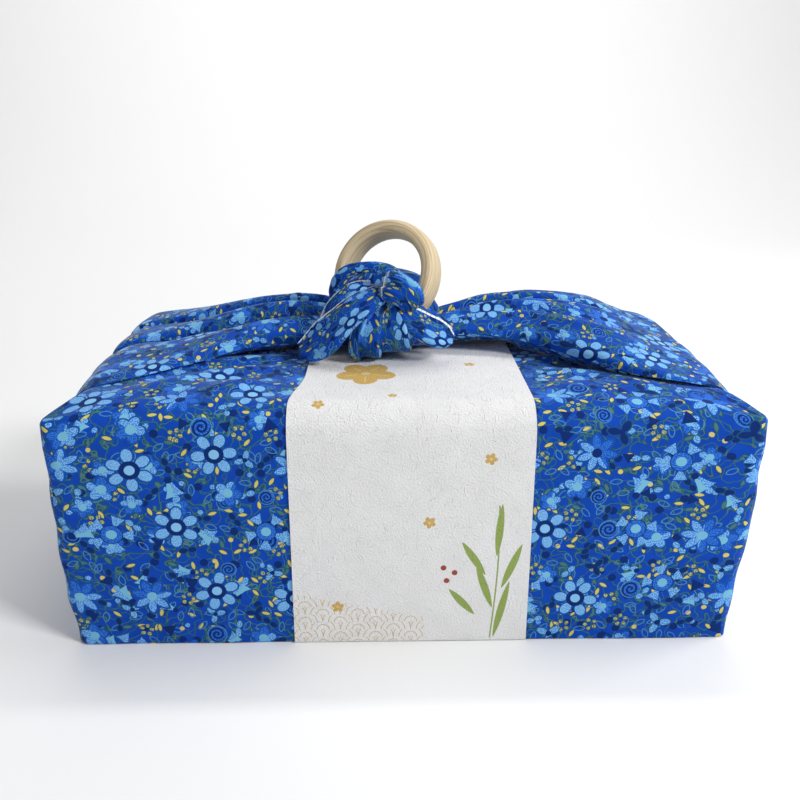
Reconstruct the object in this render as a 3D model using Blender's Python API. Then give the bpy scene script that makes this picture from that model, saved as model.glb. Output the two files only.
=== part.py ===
"""Gift box wrapped in a furoshiki cloth and tied through a wooden ring.

One square of cotton is folded up round a gift box. Its front and back corners lie flat on
the top, and the left and right corners are gathered into two wings that meet in a knot
over the middle. A wooden ring is tied into the knot as a handle, and a paper band runs
round the parcel under the knot. The front faces -Y, the width runs along X.
"""

import math

import bmesh
import bpy
import numpy as np
from mathutils import Matrix, Vector

# Sizes are in millimetres and turned into metres when a mesh is made.
MM = 0.001

# The parcel: the outside of the cloth before its folds.
HALF_WIDTH = 148.2
HALF_DEPTH = 90.0
HEIGHT = 113.5
CLOTH = 1.5
BASE_CLOTH = 2.2
CORNER_RADIUS = 5.0
TOP_RADIUS = 14.0
BOTTOM_RADIUS = 3.0
GAP = 0.3
SIDE_LEVELS = (18.0, 36.0, 55.0, 73.0, 88.0)

# Points along the front, along a side and round a corner of the parcel's outline.
FRONT_POINTS = 15
SIDE_POINTS = 11
CORNER_POINTS = 5

# How far a cutter runs past what it cuts.
PAST = 10.0

# The gift box inside has softer edges than the cloth, which stands clear of them.
BOX_EDGE_EASE = 4.5

# How far the cloth stands out past the box towards the top of the sides.
CORNER_FLARE = 10.0
MIDDLE_FLARE = 2.6
FLARE_HEIGHT = 100.0
LEFT_BULGE = 1.2

# The soft swell of the front and back outside the band, and the pitch of its troughs.
FACE_SWELL = 1.4
SWELL_START = 62.0
SWELL_RAMP = 50.0
TROUGH_ACROSS = 14.0
TROUGH_UP = 30.0
FACE_EDGE = 0.8

# The paper band round the middle.
BAND_CENTRE = 2.6
BAND_HALF_WIDTH = 53.1
BAND_PAPER = 0.5
BAND_RECESS = 0.8
BAND_FOLD_RADIUS = 2.2

# The way into the hollow, between the two flaps under the band.
FLAP_SLIT_LENGTH = 80.0
FLAP_SLIT_WIDTH = 2.0

# The wooden ring.
RING_OUTER_RADIUS = 27.5
RING_WALL = 8.0
RING_BREADTH = 14.5
RING_CENTRE = (-6.4, -3.0, 152.4)
RING_TURN = math.radians(-27.0)
RING_LEAN = math.radians(26.0)
RING_STEPS = 56
RING_POINTS = 14
RING_ROUNDNESS = 0.75
RING_CLEARANCE = 0.35

# Heights of the underside of the folds: sunk into the cloth below, or lying on the band.
SUNK = -0.9
OVER_BAND = 1.3
KNOT_REST = HEIGHT + 1.2

# Share of a wing's width and of its rise, front to back, for the rolls of each wing.
LEFT_ROLLS = (
    # across, rise
    (0.00, 0.10),
    (0.03, 0.46),
    (0.18, 0.74),
    (0.34, 0.42),
    (0.45, 0.92),
    (0.62, 0.60),
    (0.76, 1.00),
    (0.93, 0.62),
    (1.00, 0.00),
)
RIGHT_ROLLS = (
    # across, rise
    (0.00, 0.12),
    (0.03, 0.36),
    (0.22, 0.74),
    (0.47, 0.95),
    (0.58, 0.80),
    (0.72, 1.00),
    (0.90, 0.68),
    (1.00, 0.00),
)

# A row for each section of a wing, from low on the side face up and in to the knot.
LEFT_WING = (
    # out from the middle, up, lean from upright, front edge, back edge, lip, rise, skew, underside
    (148.6, 12.0, 90.0, -66.0, 66.0, 0.0, -0.3, 0.7, SUNK),
    (149.4, 45.0, 90.0, -72.0, 74.0, 0.0, 1.9, 0.7, SUNK),
    (150.4, 84.0, 88.0, -66.0, 80.0, 0.0, 2.7, 0.7, SUNK),
    (149.6, 104.0, 64.0, -61.0, 84.0, 0.0, 3.0, 0.7, SUNK),
    (144.0, 111.6, 34.0, -58.0, 85.0, 0.0, 3.6, 0.7, SUNK),
    (134.0, 113.5, 6.0, -54.0, 85.0, 0.0, 4.8, 0.7, SUNK),
    (118.0, 113.5, 0.0, -44.0, 84.0, 0.5, 7.5, 0.75, SUNK),
    (98.0, 113.5, 0.0, -30.0, 78.0, 1.5, 12.5, 0.85, SUNK),
    (76.0, 113.5, 0.0, -16.0, 66.0, 2.5, 18.0, 0.95, SUNK),
    (60.0, 113.5, 0.0, -12.0, 56.0, 3.0, 21.0, 1.0, SUNK),
    (52.5, 113.5, 0.0, -11.0, 52.0, 3.0, 22.0, 1.0, OVER_BAND),
    (34.0, 113.5, 0.0, -8.0, 40.0, 3.0, 21.0, 1.0, OVER_BAND),
    (14.0, 113.5, 0.0, -6.0, 24.0, 3.0, 15.0, 1.0, OVER_BAND),
)
RIGHT_WING = (
    # out from the middle, up, lean from upright, front edge, back edge, lip, rise, skew, underside
    (148.6, 12.0, 90.0, -66.0, 66.0, 0.0, -0.3, 1.0, SUNK),
    (149.4, 45.0, 90.0, -74.0, 74.0, 0.0, 1.9, 1.0, SUNK),
    (150.4, 84.0, 88.0, -70.0, 80.0, 0.0, 2.7, 1.0, SUNK),
    (149.6, 104.0, 64.0, -66.0, 84.0, 0.0, 3.0, 1.0, SUNK),
    (144.0, 111.6, 34.0, -64.0, 85.0, 0.0, 3.8, 1.0, SUNK),
    (134.0, 113.5, 6.0, -62.0, 84.0, 0.5, 6.0, 1.0, SUNK),
    (118.0, 113.5, 0.0, -59.0, 72.0, 1.0, 13.5, 1.0, SUNK),
    (102.0, 113.5, 0.0, -54.0, 58.0, 1.5, 21.5, 1.0, SUNK),
    (86.0, 113.5, 0.0, -40.0, 47.0, 2.5, 25.0, 1.0, SUNK),
    (70.0, 113.5, 0.0, -23.0, 42.0, 4.0, 25.5, 1.0, SUNK),
    (62.0, 113.5, 0.0, -17.0, 40.0, 5.0, 25.0, 1.0, SUNK),
    (57.5, 113.5, 0.0, -14.0, 38.0, 6.0, 24.5, 1.0, OVER_BAND),
    (44.0, 113.5, 0.0, -10.0, 34.0, 8.0, 23.5, 1.0, OVER_BAND),
    (30.0, 113.5, 0.0, -8.0, 28.0, 9.5, 20.5, 1.0, OVER_BAND),
    (12.0, 113.5, 0.0, -6.0, 20.0, 6.0, 16.0, 1.0, OVER_BAND),
)
LIP_TUCK = 5.0
LIP_TUCK_PER_LIFT = 1.2
BACK_TUCK = 1.0
UNDERSIDE_SHARES = (0.35, 0.7, 1.0)
WING_STEPS_PER_SPAN = 2

# The strands of the knot: pleated strips, a row for each section along the strip.
UPPER_LOOP = (
    # x, y, z, width, thickness
    (-22.0, 10.0, 128.0, 14.0, 10.0),
    (-29.5, -2.0, 136.0, 13.0, 9.0),
    (-28.5, -10.0, 146.0, 12.5, 8.0),
    (-20.5, -13.0, 153.0, 12.0, 8.0),
    (-11.0, -14.0, 155.0, 12.0, 8.5),
    (-2.5, -17.0, 152.5, 12.5, 8.5),
    (1.0, -21.5, 147.0, 13.0, 7.5),
    (-1.0, -25.0, 141.0, 10.0, 6.0),
    (-4.5, -24.0, 135.5, 6.0, 4.0),
)
LEFT_TAIL = (
    # x, y, z, width, thickness
    (-4.0, -9.0, 149.0, 8.0, 5.0),
    (-12.0, -18.0, 147.0, 14.0, 5.5),
    (-21.0, -24.0, 141.0, 17.0, 6.0),
    (-30.0, -26.0, 133.5, 18.5, 6.0),
    (-40.0, -26.5, 126.0, 18.5, 5.5),
    (-50.0, -25.0, 121.0, 16.5, 5.0),
    (-59.0, -22.0, 119.0, 12.5, 4.5),
    (-66.0, -19.0, 118.5, 8.0, 3.5),
)
FRONT_WRAP = (
    # x, y, z, width, thickness
    (-6.0, -17.0, 142.0, 9.0, 6.0),
    (-7.5, -24.0, 136.5, 17.0, 6.5),
    (-8.5, -27.0, 127.5, 30.0, 6.5),
    (-6.0, -23.0, 119.5, 33.0, 6.0),
    (-5.0, -13.0, 118.0, 28.0, 5.0),
    (-5.0, -5.0, 119.5, 22.0, 4.0),
)
RIGHT_TAIL = (
    # x, y, z, width, thickness
    (-3.0, -17.5, 135.0, 8.0, 5.0),
    (2.0, -20.5, 136.5, 11.0, 6.0),
    (6.5, -23.0, 136.0, 14.0, 7.0),
    (13.5, -22.5, 132.5, 17.0, 8.0),
    (20.5, -18.0, 128.5, 18.0, 8.0),
    (26.5, -12.5, 126.0, 13.0, 6.0),
)
BACK_WRAP = (
    # x, y, z, width, thickness
    (-16.0, 2.0, 146.0, 12.0, 6.0),
    (-13.0, 13.0, 145.0, 18.0, 7.0),
    (-9.0, 22.0, 137.0, 24.0, 7.0),
    (-7.0, 23.0, 125.5, 26.0, 6.5),
    (-6.0, 14.0, 118.0, 22.0, 5.0),
)
STRAND_STEPS_PER_SPAN = 3
STRAND_POINTS = 16
STRAND_ROUNDNESS = 0.8
PLEAT_DEPTH = 0.16

# The packed heart of the knot, behind the strands.
KNOT_CENTRE = (-9.0, 2.0, 132.0)
KNOT_RADII = (25.0, 18.0, 17.0)

# Materials: colour, roughness and metallic value.
FINISHES = {
    "printed cotton": ((0.03, 0.10, 0.52, 1.0), 0.85, 0.0),
    "washi paper": ((0.80, 0.80, 0.83, 1.0), 0.80, 0.0),
    "pale wood": ((0.68, 0.54, 0.36, 1.0), 0.55, 0.0),
    "grey board": ((0.55, 0.50, 0.43, 1.0), 0.90, 0.0),
}


def clear_objects():
    for old in list(bpy.data.objects):
        bpy.data.objects.remove(old, do_unlink=True)


def make_collection(name):
    made = bpy.data.collections.new(name)
    bpy.context.scene.collection.children.link(made)
    return made


def make_material(name):
    colour, roughness, metallic = FINISHES[name]
    made = bpy.data.materials.new(name)
    made.use_nodes = True
    shader = made.node_tree.nodes["Principled BSDF"]
    shader.inputs["Base Color"].default_value = colour
    shader.inputs["Roughness"].default_value = roughness
    shader.inputs["Metallic"].default_value = metallic
    return made


def loft(name, loops, collection, closed=False):
    """Make one closed body from loops of points, each with the same number of points."""
    mesh = bpy.data.meshes.new(name)
    work = bmesh.new()
    rings = [[work.verts.new(Vector(point) * MM) for point in loop] for loop in loops]
    pairs = list(zip(rings, rings[1:]))
    if closed:
        pairs.append((rings[-1], rings[0]))
    count = len(loops[0])
    for low, high in pairs:
        for i in range(count):
            j = (i + 1) % count
            work.faces.new((low[i], low[j], high[j], high[i]))
    if not closed:
        work.faces.new(rings[0][::-1])
        work.faces.new(rings[-1])
    bmesh.ops.recalc_face_normals(work, faces=work.faces)
    work.to_mesh(mesh)
    work.free()
    made = bpy.data.objects.new(name, mesh)
    collection.objects.link(made)
    return made


def smooth_rows(rows, steps):
    """Catmull-Rom curve through the rows of a table, steps to a span."""
    rows = np.array(rows, dtype=float)
    first = 2 * rows[0] - rows[1]
    last = 2 * rows[-1] - rows[-2]
    padded = np.vstack([first, rows, last])
    curve = []
    for i in range(1, len(padded) - 2):
        a, b, c, d = padded[i - 1:i + 3]
        for step in range(steps):
            t = step / steps
            curve.append(0.5 * (2 * b + (c - a) * t + (2 * a - 5 * b + 4 * c - d) * t ** 2
                                + (3 * b - a - 3 * c + d) * t ** 3))
    curve.append(rows[-1])
    return np.array(curve)


def rounder(value, power):
    """A sine or cosine with its size raised to a power, which squares a round section."""
    return math.copysign(abs(value) ** power, value)


def rounded_outline(half_width, half_depth, radius):
    """Points round a rectangle with rounded corners, seen from above, starting at the front."""
    front = np.linspace(-1.0, 1.0, FRONT_POINTS)
    side = np.linspace(-1.0, 1.0, SIDE_POINTS)
    arc = np.radians(np.linspace(0.0, 90.0, CORNER_POINTS))[1:-1]
    flat_x = half_width - radius
    flat_y = half_depth - radius
    points = [(flat_x * t, -half_depth) for t in front]
    points += [(flat_x + radius * math.sin(a), -flat_y - radius * math.cos(a)) for a in arc]
    points += [(half_width, flat_y * t) for t in side]
    points += [(flat_x + radius * math.cos(a), flat_y + radius * math.sin(a)) for a in arc]
    points += [(-flat_x * t, half_depth) for t in front]
    points += [(-flat_x - radius * math.sin(a), flat_y + radius * math.cos(a)) for a in arc]
    points += [(-half_width, -flat_y * t) for t in side]
    points += [(-flat_x - radius * math.cos(a), -flat_y - radius * math.sin(a)) for a in arc]
    return points


def block_loops(half_width, half_depth, bottom, top, corner, bottom_radius, top_radius, heights):
    """Loops of a block with rounded edges, from the flat underside to the flat top."""
    levels = []
    for angle in np.radians(np.linspace(0.0, 90.0, 4)):
        levels.append((bottom_radius * (1 - math.sin(angle)),
                       bottom + bottom_radius * (1 - math.cos(angle))))
    levels += [(0.0, height) for height in heights]
    for angle in np.radians(np.linspace(0.0, 90.0, 6)):
        levels.append((top_radius * (1 - math.cos(angle)),
                       top - top_radius * (1 - math.sin(angle))))
    loops = []
    for inset, height in levels:
        radius = max(corner - 0.5 * inset, 1.0)
        outline = rounded_outline(half_width - inset, half_depth - inset, radius)
        loops.append([(x, y, height) for x, y in outline])
    return loops


def flare(x, y, z):
    """Move a point of the parcel's outside to where the loose cloth stands."""
    lift = min(z / FLARE_HEIGHT, 1.0)
    near_corner = min(abs(y) / HALF_DEPTH, 1.0) ** 4
    reach = MIDDLE_FLARE + (CORNER_FLARE - MIDDLE_FLARE) * near_corner
    out = reach * lift ** 1.3
    if x < 0:
        out += LEFT_BULGE * math.sin(math.pi * lift) * near_corner
    side_share = (abs(x) / HALF_WIDTH) ** 5
    beyond_band = min(max((abs(x) - SWELL_START) / SWELL_RAMP, 0.0), 1.0)
    upright = math.sin(math.pi * min(max(z / HEIGHT, 0.0), 1.0))
    trough = 0.6 + 0.4 * math.cos(x / TROUGH_ACROSS + z / TROUGH_UP)
    swell = FACE_SWELL * beyond_band * upright * trough
    on_face = max(abs(y) / HALF_DEPTH - FACE_EDGE, 0.0) / (1.0 - FACE_EDGE)
    return (x + math.copysign(out * side_share, x), y + math.copysign(swell * on_face, y), z)


def wing_section(row, rolls, side):
    """One loop of a wing: over the rolls from front to back, and back along its underside."""
    out, up, lean, front, back, lip, rise, skew, under = row
    angle = math.radians(lean)
    depth = back - front
    profile = smooth_rows([(share ** skew, level) for share, level in rolls], 3)
    crest = [(front + depth * share, rise * level + lip * (1 - level) * (1 - share) ** 2)
             for share, level in profile[:-1]]
    tuck = min(LIP_TUCK + LIP_TUCK_PER_LIFT * lip, 0.5 * depth)
    base = [(back - BACK_TUCK, under)]
    base += [(back - share * (depth - tuck), under) for share in UNDERSIDE_SHARES]
    loop = []
    for y, height in crest + base:
        loop.append((side * (out + height * math.sin(angle)), y, up + height * math.cos(angle)))
    return loop


def wing(name, table, rolls, side, collection):
    rows = smooth_rows(table, WING_STEPS_PER_SPAN)
    return loft(name, [wing_section(row, rolls, side) for row in rows], collection)


def strand(name, table, facing, pleats, collection):
    """A pleated strip swept along its rows; facing is the way its broad side looks at first."""
    rows = smooth_rows(table, STRAND_STEPS_PER_SPAN)
    centres = rows[:, :3]
    tangents = np.gradient(centres, axis=0)
    normal = np.array(facing, dtype=float)
    loops = []
    for (x, y, z, width, thickness), tangent in zip(rows, tangents):
        tangent = tangent / np.linalg.norm(tangent)
        normal = normal - tangent * normal.dot(tangent)
        normal = normal / np.linalg.norm(normal)
        across = np.cross(tangent, normal)
        loop = []
        for k in range(STRAND_POINTS):
            angle = 2 * math.pi * k / STRAND_POINTS
            pleat = 1.0 + PLEAT_DEPTH * math.cos(pleats * angle)
            wide = 0.5 * width * rounder(math.cos(angle), STRAND_ROUNDNESS)
            deep = 0.5 * thickness * pleat * rounder(math.sin(angle), STRAND_ROUNDNESS)
            loop.append(tuple(np.array((x, y, z)) + across * wide + normal * deep))
        loops.append(loop)
    return loft(name, loops, collection)


def knot_heart(name, collection):
    mesh = bpy.data.meshes.new(name)
    work = bmesh.new()
    bmesh.ops.create_uvsphere(work, u_segments=24, v_segments=12, radius=1.0)
    bmesh.ops.scale(work, vec=Vector(KNOT_RADII) * MM, verts=work.verts)
    work.to_mesh(mesh)
    work.free()
    made = bpy.data.objects.new(name, mesh)
    made.location = Vector(KNOT_CENTRE) * MM
    collection.objects.link(made)
    return made


def ring_loops(grow):
    """Sections of the ring: a flattened band of wood with well rounded edges."""
    matrix = (Matrix.Translation(Vector(RING_CENTRE)) @ Matrix.Rotation(RING_TURN, 4, "Z")
              @ Matrix.Rotation(-RING_LEAN, 4, "X"))
    middle = RING_OUTER_RADIUS - 0.5 * RING_WALL
    loops = []
    for i in range(RING_STEPS):
        turn = 2 * math.pi * i / RING_STEPS
        loop = []
        for k in range(RING_POINTS):
            angle = 2 * math.pi * k / RING_POINTS
            wall = (0.5 * RING_WALL + grow) * rounder(math.cos(angle), RING_ROUNDNESS)
            breadth = (0.5 * RING_BREADTH + grow) * rounder(math.sin(angle), RING_ROUNDNESS)
            radius = middle + wall
            point = Vector((radius * math.cos(turn), breadth, radius * math.sin(turn)))
            loop.append(tuple(matrix @ point))
        loops.append(loop)
    return loops


def band_loop(offset):
    """The band's path round the parcel, seen from the side, at an offset from the cloth."""
    wide = HALF_DEPTH + offset
    top = HEIGHT + offset
    bottom = BAND_RECESS - offset
    top_radius = TOP_RADIUS + offset
    fold = BAND_FOLD_RADIUS + offset - GAP
    path = []
    for angle in np.radians(np.linspace(0.0, 90.0, 5)):
        path.append((-wide + fold - fold * math.sin(angle), bottom + fold - fold * math.cos(angle)))
    for angle in np.radians(np.linspace(0.0, 90.0, 10)):
        path.append((-wide + top_radius - top_radius * math.cos(angle),
                     top - top_radius + top_radius * math.sin(angle)))
    return path + [(-y, z) for y, z in reversed(path)]


def paper_band(name, collection):
    inner = band_loop(GAP)
    outer = band_loop(GAP + BAND_PAPER)
    left = BAND_CENTRE - BAND_HALF_WIDTH
    right = BAND_CENTRE + BAND_HALF_WIDTH
    sections = []
    for (yi, zi), (yo, zo) in zip(inner, outer):
        sections.append([(left, yi, zi), (right, yi, zi), (right, yo, zo), (left, yo, zo)])
    return loft(name, sections, collection, closed=True)


def cutting_box(name, low, high, collection):
    mesh = bpy.data.meshes.new(name)
    work = bmesh.new()
    bmesh.ops.create_cube(work, size=1.0)
    size = Vector(high) - Vector(low)
    bmesh.ops.scale(work, vec=size * MM, verts=work.verts)
    work.to_mesh(mesh)
    work.free()
    made = bpy.data.objects.new(name, mesh)
    made.location = (Vector(low) + Vector(high)) * 0.5 * MM
    collection.objects.link(made)
    return made


def hide_helper(helper):
    helper.hide_render = True
    helper.display_type = "WIRE"


def add_boolean(target, operation, other):
    modifier = target.modifiers.new(operation.title() + " " + other.name, "BOOLEAN")
    modifier.operation = operation
    modifier.solver = "EXACT"
    modifier.object = other
    hide_helper(other)


def build():
    clear_objects()
    parts = make_collection("Furoshiki wrap")
    helpers = make_collection("Cutters and folds")

    half_width = HALF_WIDTH - CLOTH
    half_depth = HALF_DEPTH - CLOTH
    hollow_sizes = (half_width, half_depth, BASE_CLOTH, HEIGHT - CLOTH,
                    CORNER_RADIUS - CLOTH, BOTTOM_RADIUS - CLOTH, TOP_RADIUS - CLOTH)
    box_sizes = (half_width - GAP, half_depth - GAP, BASE_CLOTH + GAP, HEIGHT - CLOTH - GAP,
                 CORNER_RADIUS - CLOTH + BOX_EDGE_EASE, BOTTOM_RADIUS - CLOTH + BOX_EDGE_EASE,
                 TOP_RADIUS - CLOTH + BOX_EDGE_EASE)

    outside = block_loops(HALF_WIDTH, HALF_DEPTH, 0.0, HEIGHT, CORNER_RADIUS, BOTTOM_RADIUS,
                          TOP_RADIUS, SIDE_LEVELS)
    cloth = loft("cloth", [[flare(*point) for point in loop] for loop in outside], parts)
    hollow = loft("hollow", block_loops(*hollow_sizes, ()), helpers)
    slit = cutting_box("flap slit",
                       (-0.5 * FLAP_SLIT_LENGTH, -0.5 * FLAP_SLIT_WIDTH, HEIGHT - PAST),
                       (0.5 * FLAP_SLIT_LENGTH, 0.5 * FLAP_SLIT_WIDTH, HEIGHT + PAST), helpers)
    recess_half = BAND_HALF_WIDTH + GAP
    recess = cutting_box("band recess", (BAND_CENTRE - recess_half, -HALF_DEPTH - PAST, -PAST),
                         (BAND_CENTRE + recess_half, HALF_DEPTH + PAST, BAND_RECESS), helpers)
    for cutter in (hollow, slit, recess):
        add_boolean(cloth, "DIFFERENCE", cutter)

    knot = knot_heart("knot", helpers)
    strands = (
        # name, rows, the way it faces, pleats
        ("upper loop", UPPER_LOOP, (-0.8, -0.5, 0.0), 6),
        ("left tail", LEFT_TAIL, (-0.3, -0.7, 0.6), 4),
        ("front wrap", FRONT_WRAP, (0.0, -1.0, 0.2), 8),
        ("right tail", RIGHT_TAIL, (0.3, -0.9, 0.4), 4),
        ("back wrap", BACK_WRAP, (0.0, 0.3, 1.0), 6),
    )
    for name, table, facing, pleats in strands:
        add_boolean(knot, "UNION", strand(name, table, facing, pleats, helpers))
    under_knot = cutting_box("under the knot", (-HALF_WIDTH, -HALF_DEPTH, HEIGHT - PAST),
                             (HALF_WIDTH, HALF_DEPTH, KNOT_REST), helpers)
    add_boolean(knot, "DIFFERENCE", under_knot)

    for fold in (wing("left wing", LEFT_WING, LEFT_ROLLS, -1, helpers),
                 wing("right wing", RIGHT_WING, RIGHT_ROLLS, 1, helpers), knot):
        add_boolean(cloth, "UNION", fold)
    ring_space = loft("ring space", ring_loops(RING_CLEARANCE), helpers, closed=True)
    add_boolean(cloth, "DIFFERENCE", ring_space)

    ring = loft("ring", ring_loops(0.0), parts, closed=True)
    band = paper_band("band", parts)
    box = loft("box", block_loops(*box_sizes, ()), parts)

    for piece, finish in ((cloth, "printed cotton"), (ring, "pale wood"),
                          (band, "washi paper"), (box, "grey board")):
        piece.data.materials.append(make_material(finish))
        piece.data.shade_smooth()
        piece.data.set_sharp_from_angle(angle=math.radians(40.0))


build()
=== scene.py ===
"""A gift box wrapped in a printed cotton furoshiki that is knotted through a wooden ring."""

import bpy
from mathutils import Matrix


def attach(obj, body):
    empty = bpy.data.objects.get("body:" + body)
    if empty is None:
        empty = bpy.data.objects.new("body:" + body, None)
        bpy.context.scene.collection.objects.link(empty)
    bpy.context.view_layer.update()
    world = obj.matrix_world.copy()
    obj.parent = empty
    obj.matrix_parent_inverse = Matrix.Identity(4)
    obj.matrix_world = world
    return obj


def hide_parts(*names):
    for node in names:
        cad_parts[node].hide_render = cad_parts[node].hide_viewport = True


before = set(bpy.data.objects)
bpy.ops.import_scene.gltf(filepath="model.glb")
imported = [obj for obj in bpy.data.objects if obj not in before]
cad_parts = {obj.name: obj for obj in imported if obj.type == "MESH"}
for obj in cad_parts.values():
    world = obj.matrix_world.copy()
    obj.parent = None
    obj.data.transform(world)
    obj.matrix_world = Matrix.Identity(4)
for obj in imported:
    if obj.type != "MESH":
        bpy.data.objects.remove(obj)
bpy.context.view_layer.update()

import math

import bmesh
import bpy
import numpy as np
from mathutils import Matrix, Vector

# The wrap: the middle of one square of plain-woven cotton, folded up round the gift box. It
# stands a little out from the box towards its top corners, and its front and back corners lie
# flat on the top. Sizes are in millimetres, made metres when a mesh is built.
MM = 0.001
HALF_WIDTH = 148.2
HALF_DEPTH = 90.0
HEIGHT = 113.5
CORNER_RADIUS = 5.0
TOP_RADIUS = 14.0
BOTTOM_RADIUS = 1.2
MIDDLE_FLARE = 2.6
FLARE_HEIGHT = 100.0
LEFT_CORNERS = (
    # height, how far the cloth stands out
    (0.0, 1.5),
    (13.0, 2.6),
    (22.0, 4.6),
    (45.0, 6.0),
    (75.0, 6.3),
    (96.0, 6.1),
    (107.0, 7.0),
)
RIGHT_CORNERS = (
    # height, how far the cloth stands out
    (0.0, 1.6),
    (10.0, 2.4),
    (26.0, 3.4),
    (45.0, 5.6),
    (58.0, 7.2),
    (90.0, 7.5),
    (103.0, 8.2),
)
CORNER_RIPPLE = 0.35
FACE_SWELL = 1.4
SIDE_ROUNDING = 1.5
TIP_REACH = 15.0
TIP_SHARPNESS = 0.84
TIP_DROOP = 5.0
PULL_HEIGHT = 2.6
SLACK_HEIGHT = 2.4
SLACK_AT = 62.0
CORNER_CREASE = 0.55
FACE_CREASE = 0.35
CLOTH_THICKNESS = 0.9
BAND_CENTRE = 2.6
BAND_HALF_WIDTH = 53.1
FLAP_SEAM = 12.0
BACK_CLOTH = 431.0


def ripple(a, b, pitch, seed):
    """Smooth uneven waves over a plane, from -1 to 1, about pitch long."""
    chance = np.random.default_rng(seed)
    total = np.zeros(np.broadcast(a, b).shape)
    for _ in range(6):
        turn = chance.uniform(0.0, 2.0 * math.pi)
        wave = 2.0 * math.pi / (pitch * chance.uniform(0.6, 1.7))
        shift = chance.uniform(0.0, 2.0 * math.pi)
        total = total + np.sin(wave * (a * math.cos(turn) + b * math.sin(turn)) + shift)
    return total / 6.0


def ramp(value, start, end):
    """Smooth step from 0 at start to 1 at end."""
    t = np.clip((value - start) / (end - start), 0.0, 1.0)
    return t * t * (3.0 - 2.0 * t)


def ticks(half, edge, count):
    """Places along a side from -half to half, closer together at its rounded ends."""
    near = np.array([0.0, 0.8, 1.7, 2.7, 3.8, 5.0]) * edge / 5.0
    inner = np.linspace(-half + edge + 2.0, half - edge - 2.0, count)
    return np.concatenate([near - half, inner, (half - near)[::-1]])


def tip_share(x, y):
    """How near a place seen from above is to one of the pointed top corners, from 0 to 1."""
    return np.exp(-np.square(HALF_WIDTH - np.abs(x)) / TIP_REACH ** 2
                  - np.square(HALF_DEPTH - np.abs(y)) / TIP_REACH ** 2)


def flare(points):
    """Move points of the plain block out to where the loose cloth stands."""
    x, y, z = points.T
    lift = np.clip(z / FLARE_HEIGHT, 0.0, 1.0)
    corner = np.clip(np.abs(y) / (HALF_DEPTH - CORNER_RADIUS), 0.0, 1.0) ** 4
    out = MIDDLE_FLARE * lift ** 1.3
    left, right = (np.interp(z, *np.transpose(rows)) for rows in (LEFT_CORNERS, RIGHT_CORNERS))
    out += (np.where(x < 0, left, right) - out
            + CORNER_RIPPLE * np.sin(z / 4.1 + x)) * corner
    out *= np.sign(x) * (np.abs(x) / HALF_WIDTH) ** 5
    tip = tip_share(x, y) * ramp(z, HEIGHT - 45.0, HEIGHT - 3.0)
    z = z - TIP_DROOP * tip
    upright = np.sin(math.pi * np.clip(z / HEIGHT, 0.0, 1.0))
    beyond = np.clip((np.abs(x) - 62.0) / 50.0, 0.0, 1.0)
    swell = FACE_SWELL * beyond * upright * (0.6 + 0.4 * np.cos(x / 14.0 + z / 30.0))
    on_face = np.clip((np.abs(y) / HALF_DEPTH - 0.8) / 0.2, 0.0, 1.0)
    return np.stack([x + out, y + np.sign(y) * swell * on_face, z], axis=1)


def crease(points):
    """Add the slack of the cloth: pulls that run to the knot, and creases at the corners."""
    x, y, z = points.T
    beside_band = ramp(np.abs(x - BAND_CENTRE), BAND_HALF_WIDTH + 3.0, BAND_HALF_WIDTH + 26.0)
    on_top = ramp(z, HEIGHT - 3.0, HEIGHT - 0.2)
    on_front = ramp(np.abs(y), HALF_DEPTH - 3.0, HALF_DEPTH - 0.5) * (1.0 - on_top)
    angle = np.arctan2(np.abs(y) + 8.0, np.abs(x) + 20.0)
    pulls = 0.5 + 0.5 * np.sin(angle * 30.0 + 2.2 * ripple(x, y, 70.0, 4))
    near_wing = ramp(np.abs(y), HALF_DEPTH - 6.0, 48.0)
    lift = on_top * beside_band * near_wing * PULL_HEIGHT * pulls ** 1.6
    slack = np.exp(-np.square((np.abs(y) - SLACK_AT + 5.0 * ripple(x, y, 60.0, 6)) / 10.0))
    lift += on_top * beside_band * SLACK_HEIGHT * slack * ramp(np.abs(x), 128.0, 84.0)
    from_corner = np.hypot(HALF_WIDTH - np.abs(x), HEIGHT - z)
    fan = np.sin(np.arctan2(HEIGHT + 6.0 - z, HALF_WIDTH + 8.0 - np.abs(x)) * 11.0
                 + 1.2 * ripple(x, z, 60.0, 9))
    push = on_front * beside_band * (CORNER_CREASE * fan * np.exp(-from_corner / 55.0)
                                     + FACE_CREASE * ripple(x, z, 34.0, 5) + 0.25)
    return np.stack([x, y + np.sign(y) * np.maximum(push, 0.0), z + lift], axis=1)


def at_level(plan, inset, z):
    """Points of the block's outline at one level; near the corners the top edge is sharper."""
    radius = TOP_RADIUS * (1.0 - TIP_SHARPNESS * tip_share(*plan.T))
    if z > HEIGHT - TOP_RADIUS:
        inset = inset * radius / TOP_RADIUS
        z = HEIGHT - (HEIGHT - z) * radius / TOP_RADIUS
    inset = inset + np.zeros(len(plan))
    upright = math.sin(math.pi * min(max(float(np.mean(z)) / HEIGHT, 0.0), 1.0))
    corner = np.maximum(CORNER_RADIUS + SIDE_ROUNDING * upright - 0.5 * inset, 1.0)[:, None]
    half = np.array([HALF_WIDTH, HALF_DEPTH]) - inset[:, None]
    edge = plan * half / np.array([HALF_WIDTH, HALF_DEPTH])
    inner = np.clip(edge, corner - half, half - corner)
    away = edge - inner
    size = np.maximum(np.linalg.norm(away, axis=1, keepdims=True), 1e-9)
    placed = inner + away * np.abs(away).max(axis=1, keepdims=True) / size
    z = z + np.zeros(len(plan))
    return np.column_stack([placed, z]).tolist(), radius.tolist()


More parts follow.
